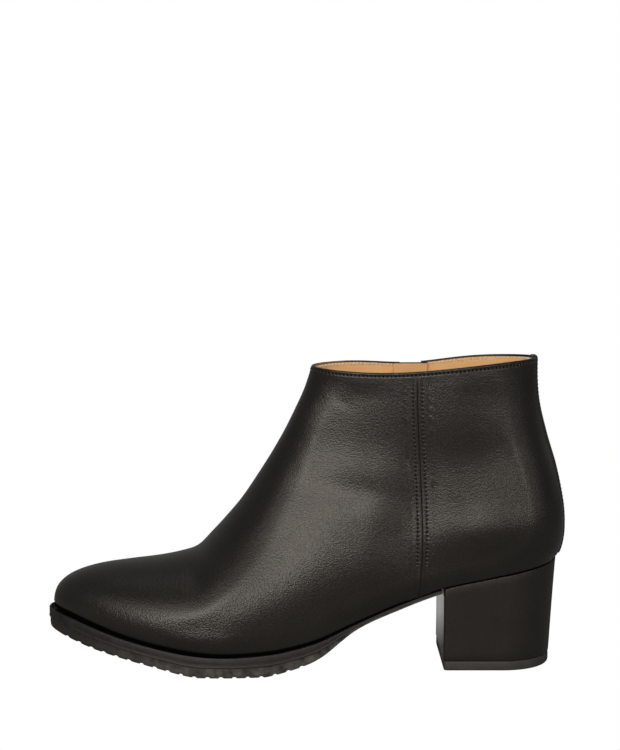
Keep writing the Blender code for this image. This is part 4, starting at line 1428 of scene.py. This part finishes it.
def build_heel(finishes):
    rings = []
    for part, inset, lift in HEEL_LEVELS:
        half = between(HEEL_TOP_HALF, HEEL_FOOT_HALF, part)
        back_x = between(HEEL_TOP_BACK_X, HEEL_FOOT_BACK_X, part)
        rings.append(heel_ring(half, back_x, inset,
                               lambda x: sole_top(x) * (1.0 - part) + HEEL_FOOT * part + lift))
    rings = np.stack(rings)
    mesh = add_piece("heel_cover", rings, ring_faces(rings), finishes.heel, "black_leather", "heel",
                     finishes.breast, sharp=SHARP_RUBBER)
    for item in mesh.polygons:
        if item.normal.x > 0.9 and item.center.z < (sole_top(HEEL_BREAST_X) - BREAST_BELOW) * MM:
            item.material_index = 1


def build_top_piece(finishes):
    rings = np.stack([
        heel_ring(HEEL_FOOT_HALF, HEEL_FOOT_BACK_X, TOP_PIECE_INSET + inset,
                  lambda x: np.full(x.shape, level))
        for inset, level in TOP_PIECE_LEVELS])
    add_piece("heel_lift", rings, ring_faces(rings), finishes.lift, "sole_rubber", "heel_top_piece",
              sharp=SHARP_RUBBER)


def dress_hardware(frame, finishes):
    for name in ("zip_slider", "zip_pull"):
        node = frame["nodes"][name]
        node.data.materials.clear()
        node.data.materials.append(finishes.metal)


# Studio


def add_camera():
    camera = add_object("camera", bpy.data.cameras.new("camera"))
    camera.data.sensor_fit = "VERTICAL"
    camera.data.sensor_height = SENSOR
    camera.data.lens = SENSOR * CAMERA_FOCAL_PIXELS / IMAGE_HEIGHT
    camera.data.clip_start = 0.01
    camera.location = Vector(CAMERA_PLACE) * MM
    camera.rotation_euler = (math.radians(90.0 - CAMERA_PITCH), 0.0, math.radians(180.0))
    bpy.context.scene.camera = camera


def add_floor():
    """Floor that looks white, and lights the heel breast from a patch behind it."""
    mesh = bpy.data.meshes.new("floor")
    corners = [(FLOOR_HALF * x, FLOOR_HALF * y, 0.0) for x, y in ((-1, -1), (1, -1), (1, 1), (-1, 1))]
    mesh.from_pydata(corners, [], [(0, 1, 2, 3)])
    floor = add_object("floor", mesh)
    made, tree, shader, place = new_material("pale floor")
    feed(tree, shader, {"Base Color": (FLOOR_GREY, FLOOR_GREY, FLOOR_GREY, 1.0), "Roughness": 0.9,
                        "Specular IOR Level": 0.1})
    x, y = (add_node(tree, "ShaderNodeSeparateXYZ", {"Vector": place}, axis) for axis in "XY")
    patch = combine(tree, "MULTIPLY", map_range(tree, y, *GLOW_BEHIND, 0.0, FLOOR_GLOW),
                    map_range(tree, x, *GLOW_REAR), map_range(tree, x, *GLOW_FRONT, 1.0, 0.0))
    glow = add_node(tree, "ShaderNodeEmission", {"Color": (1.0, 1.0, 1.0, 1.0), "Strength": 1.0})
    seen = add_node(tree, "ShaderNodeLightPath", {}, "Is Camera Ray")
    shown = combine(tree, "MAXIMUM", seen, patch)
    mixed = add_node(tree, "ShaderNodeMixShader", {"Fac": shown, 1: shader.outputs["BSDF"], 2: glow})
    tree.links.new(mixed, tree.nodes["Material Output"].inputs["Surface"])
    mesh.materials.append(made)


def add_light(light):
    data = bpy.data.lights.new(light.name, "AREA")
    data.shape = "RECTANGLE"
    data.size, data.size_y = light.size
    data.energy = light.brightness * math.pi * light.size[0] * light.size[1]
    data.color = WARM_LIGHT
    made = add_object(light.name, data)
    turn, rise = math.radians(light.turn), math.radians(light.rise)
    spoke = Vector((math.cos(rise) * math.sin(turn), math.cos(rise) * math.cos(turn), math.sin(rise)))
    made.location = Vector((0.0, 0.0, LIGHT_HEIGHT)) + spoke * light.away
    made.rotation_euler = (-spoke).to_track_quat("-Z", "Y").to_euler()


def add_studio():
    scene = bpy.context.scene
    scene.view_settings.view_transform = "Standard"
    scene.world = bpy.data.worlds.new("studio")
    scene.world.use_nodes = True
    tree = scene.world.node_tree
    place = add_node(tree, "ShaderNodeTexCoord", {}, "Generated")
    y = add_node(tree, "ShaderNodeSeparateXYZ", {"Vector": place}, "Y")
    behind = map_range(tree, y, -0.9, -0.2, WORLD_BEHIND, WORLD_FRONT)
    seen = add_node(tree, "ShaderNodeLightPath", {}, "Is Camera Ray")
    feed(tree, tree.nodes["Background"], {"Strength": combine(tree, "MAXIMUM", seen, behind),
                                          "Color": (1.0, 1.0, 1.0, 1.0)})
    for light in LIGHTS:
        add_light(light)


def main():
    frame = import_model()
    add_camera()
    add_floor()
    add_studio()
    finishes = make_finishes()
    for build in (build_skin, build_collar, build_side_seam, build_backstay, build_zip_borders,
                  build_zip_foot, build_stitches, build_lining, build_zip_flap, build_zip, build_outsole,
                  build_insole, build_heel, build_top_piece):
        build(finishes)
    dress_hardware(frame, finishes)


main()
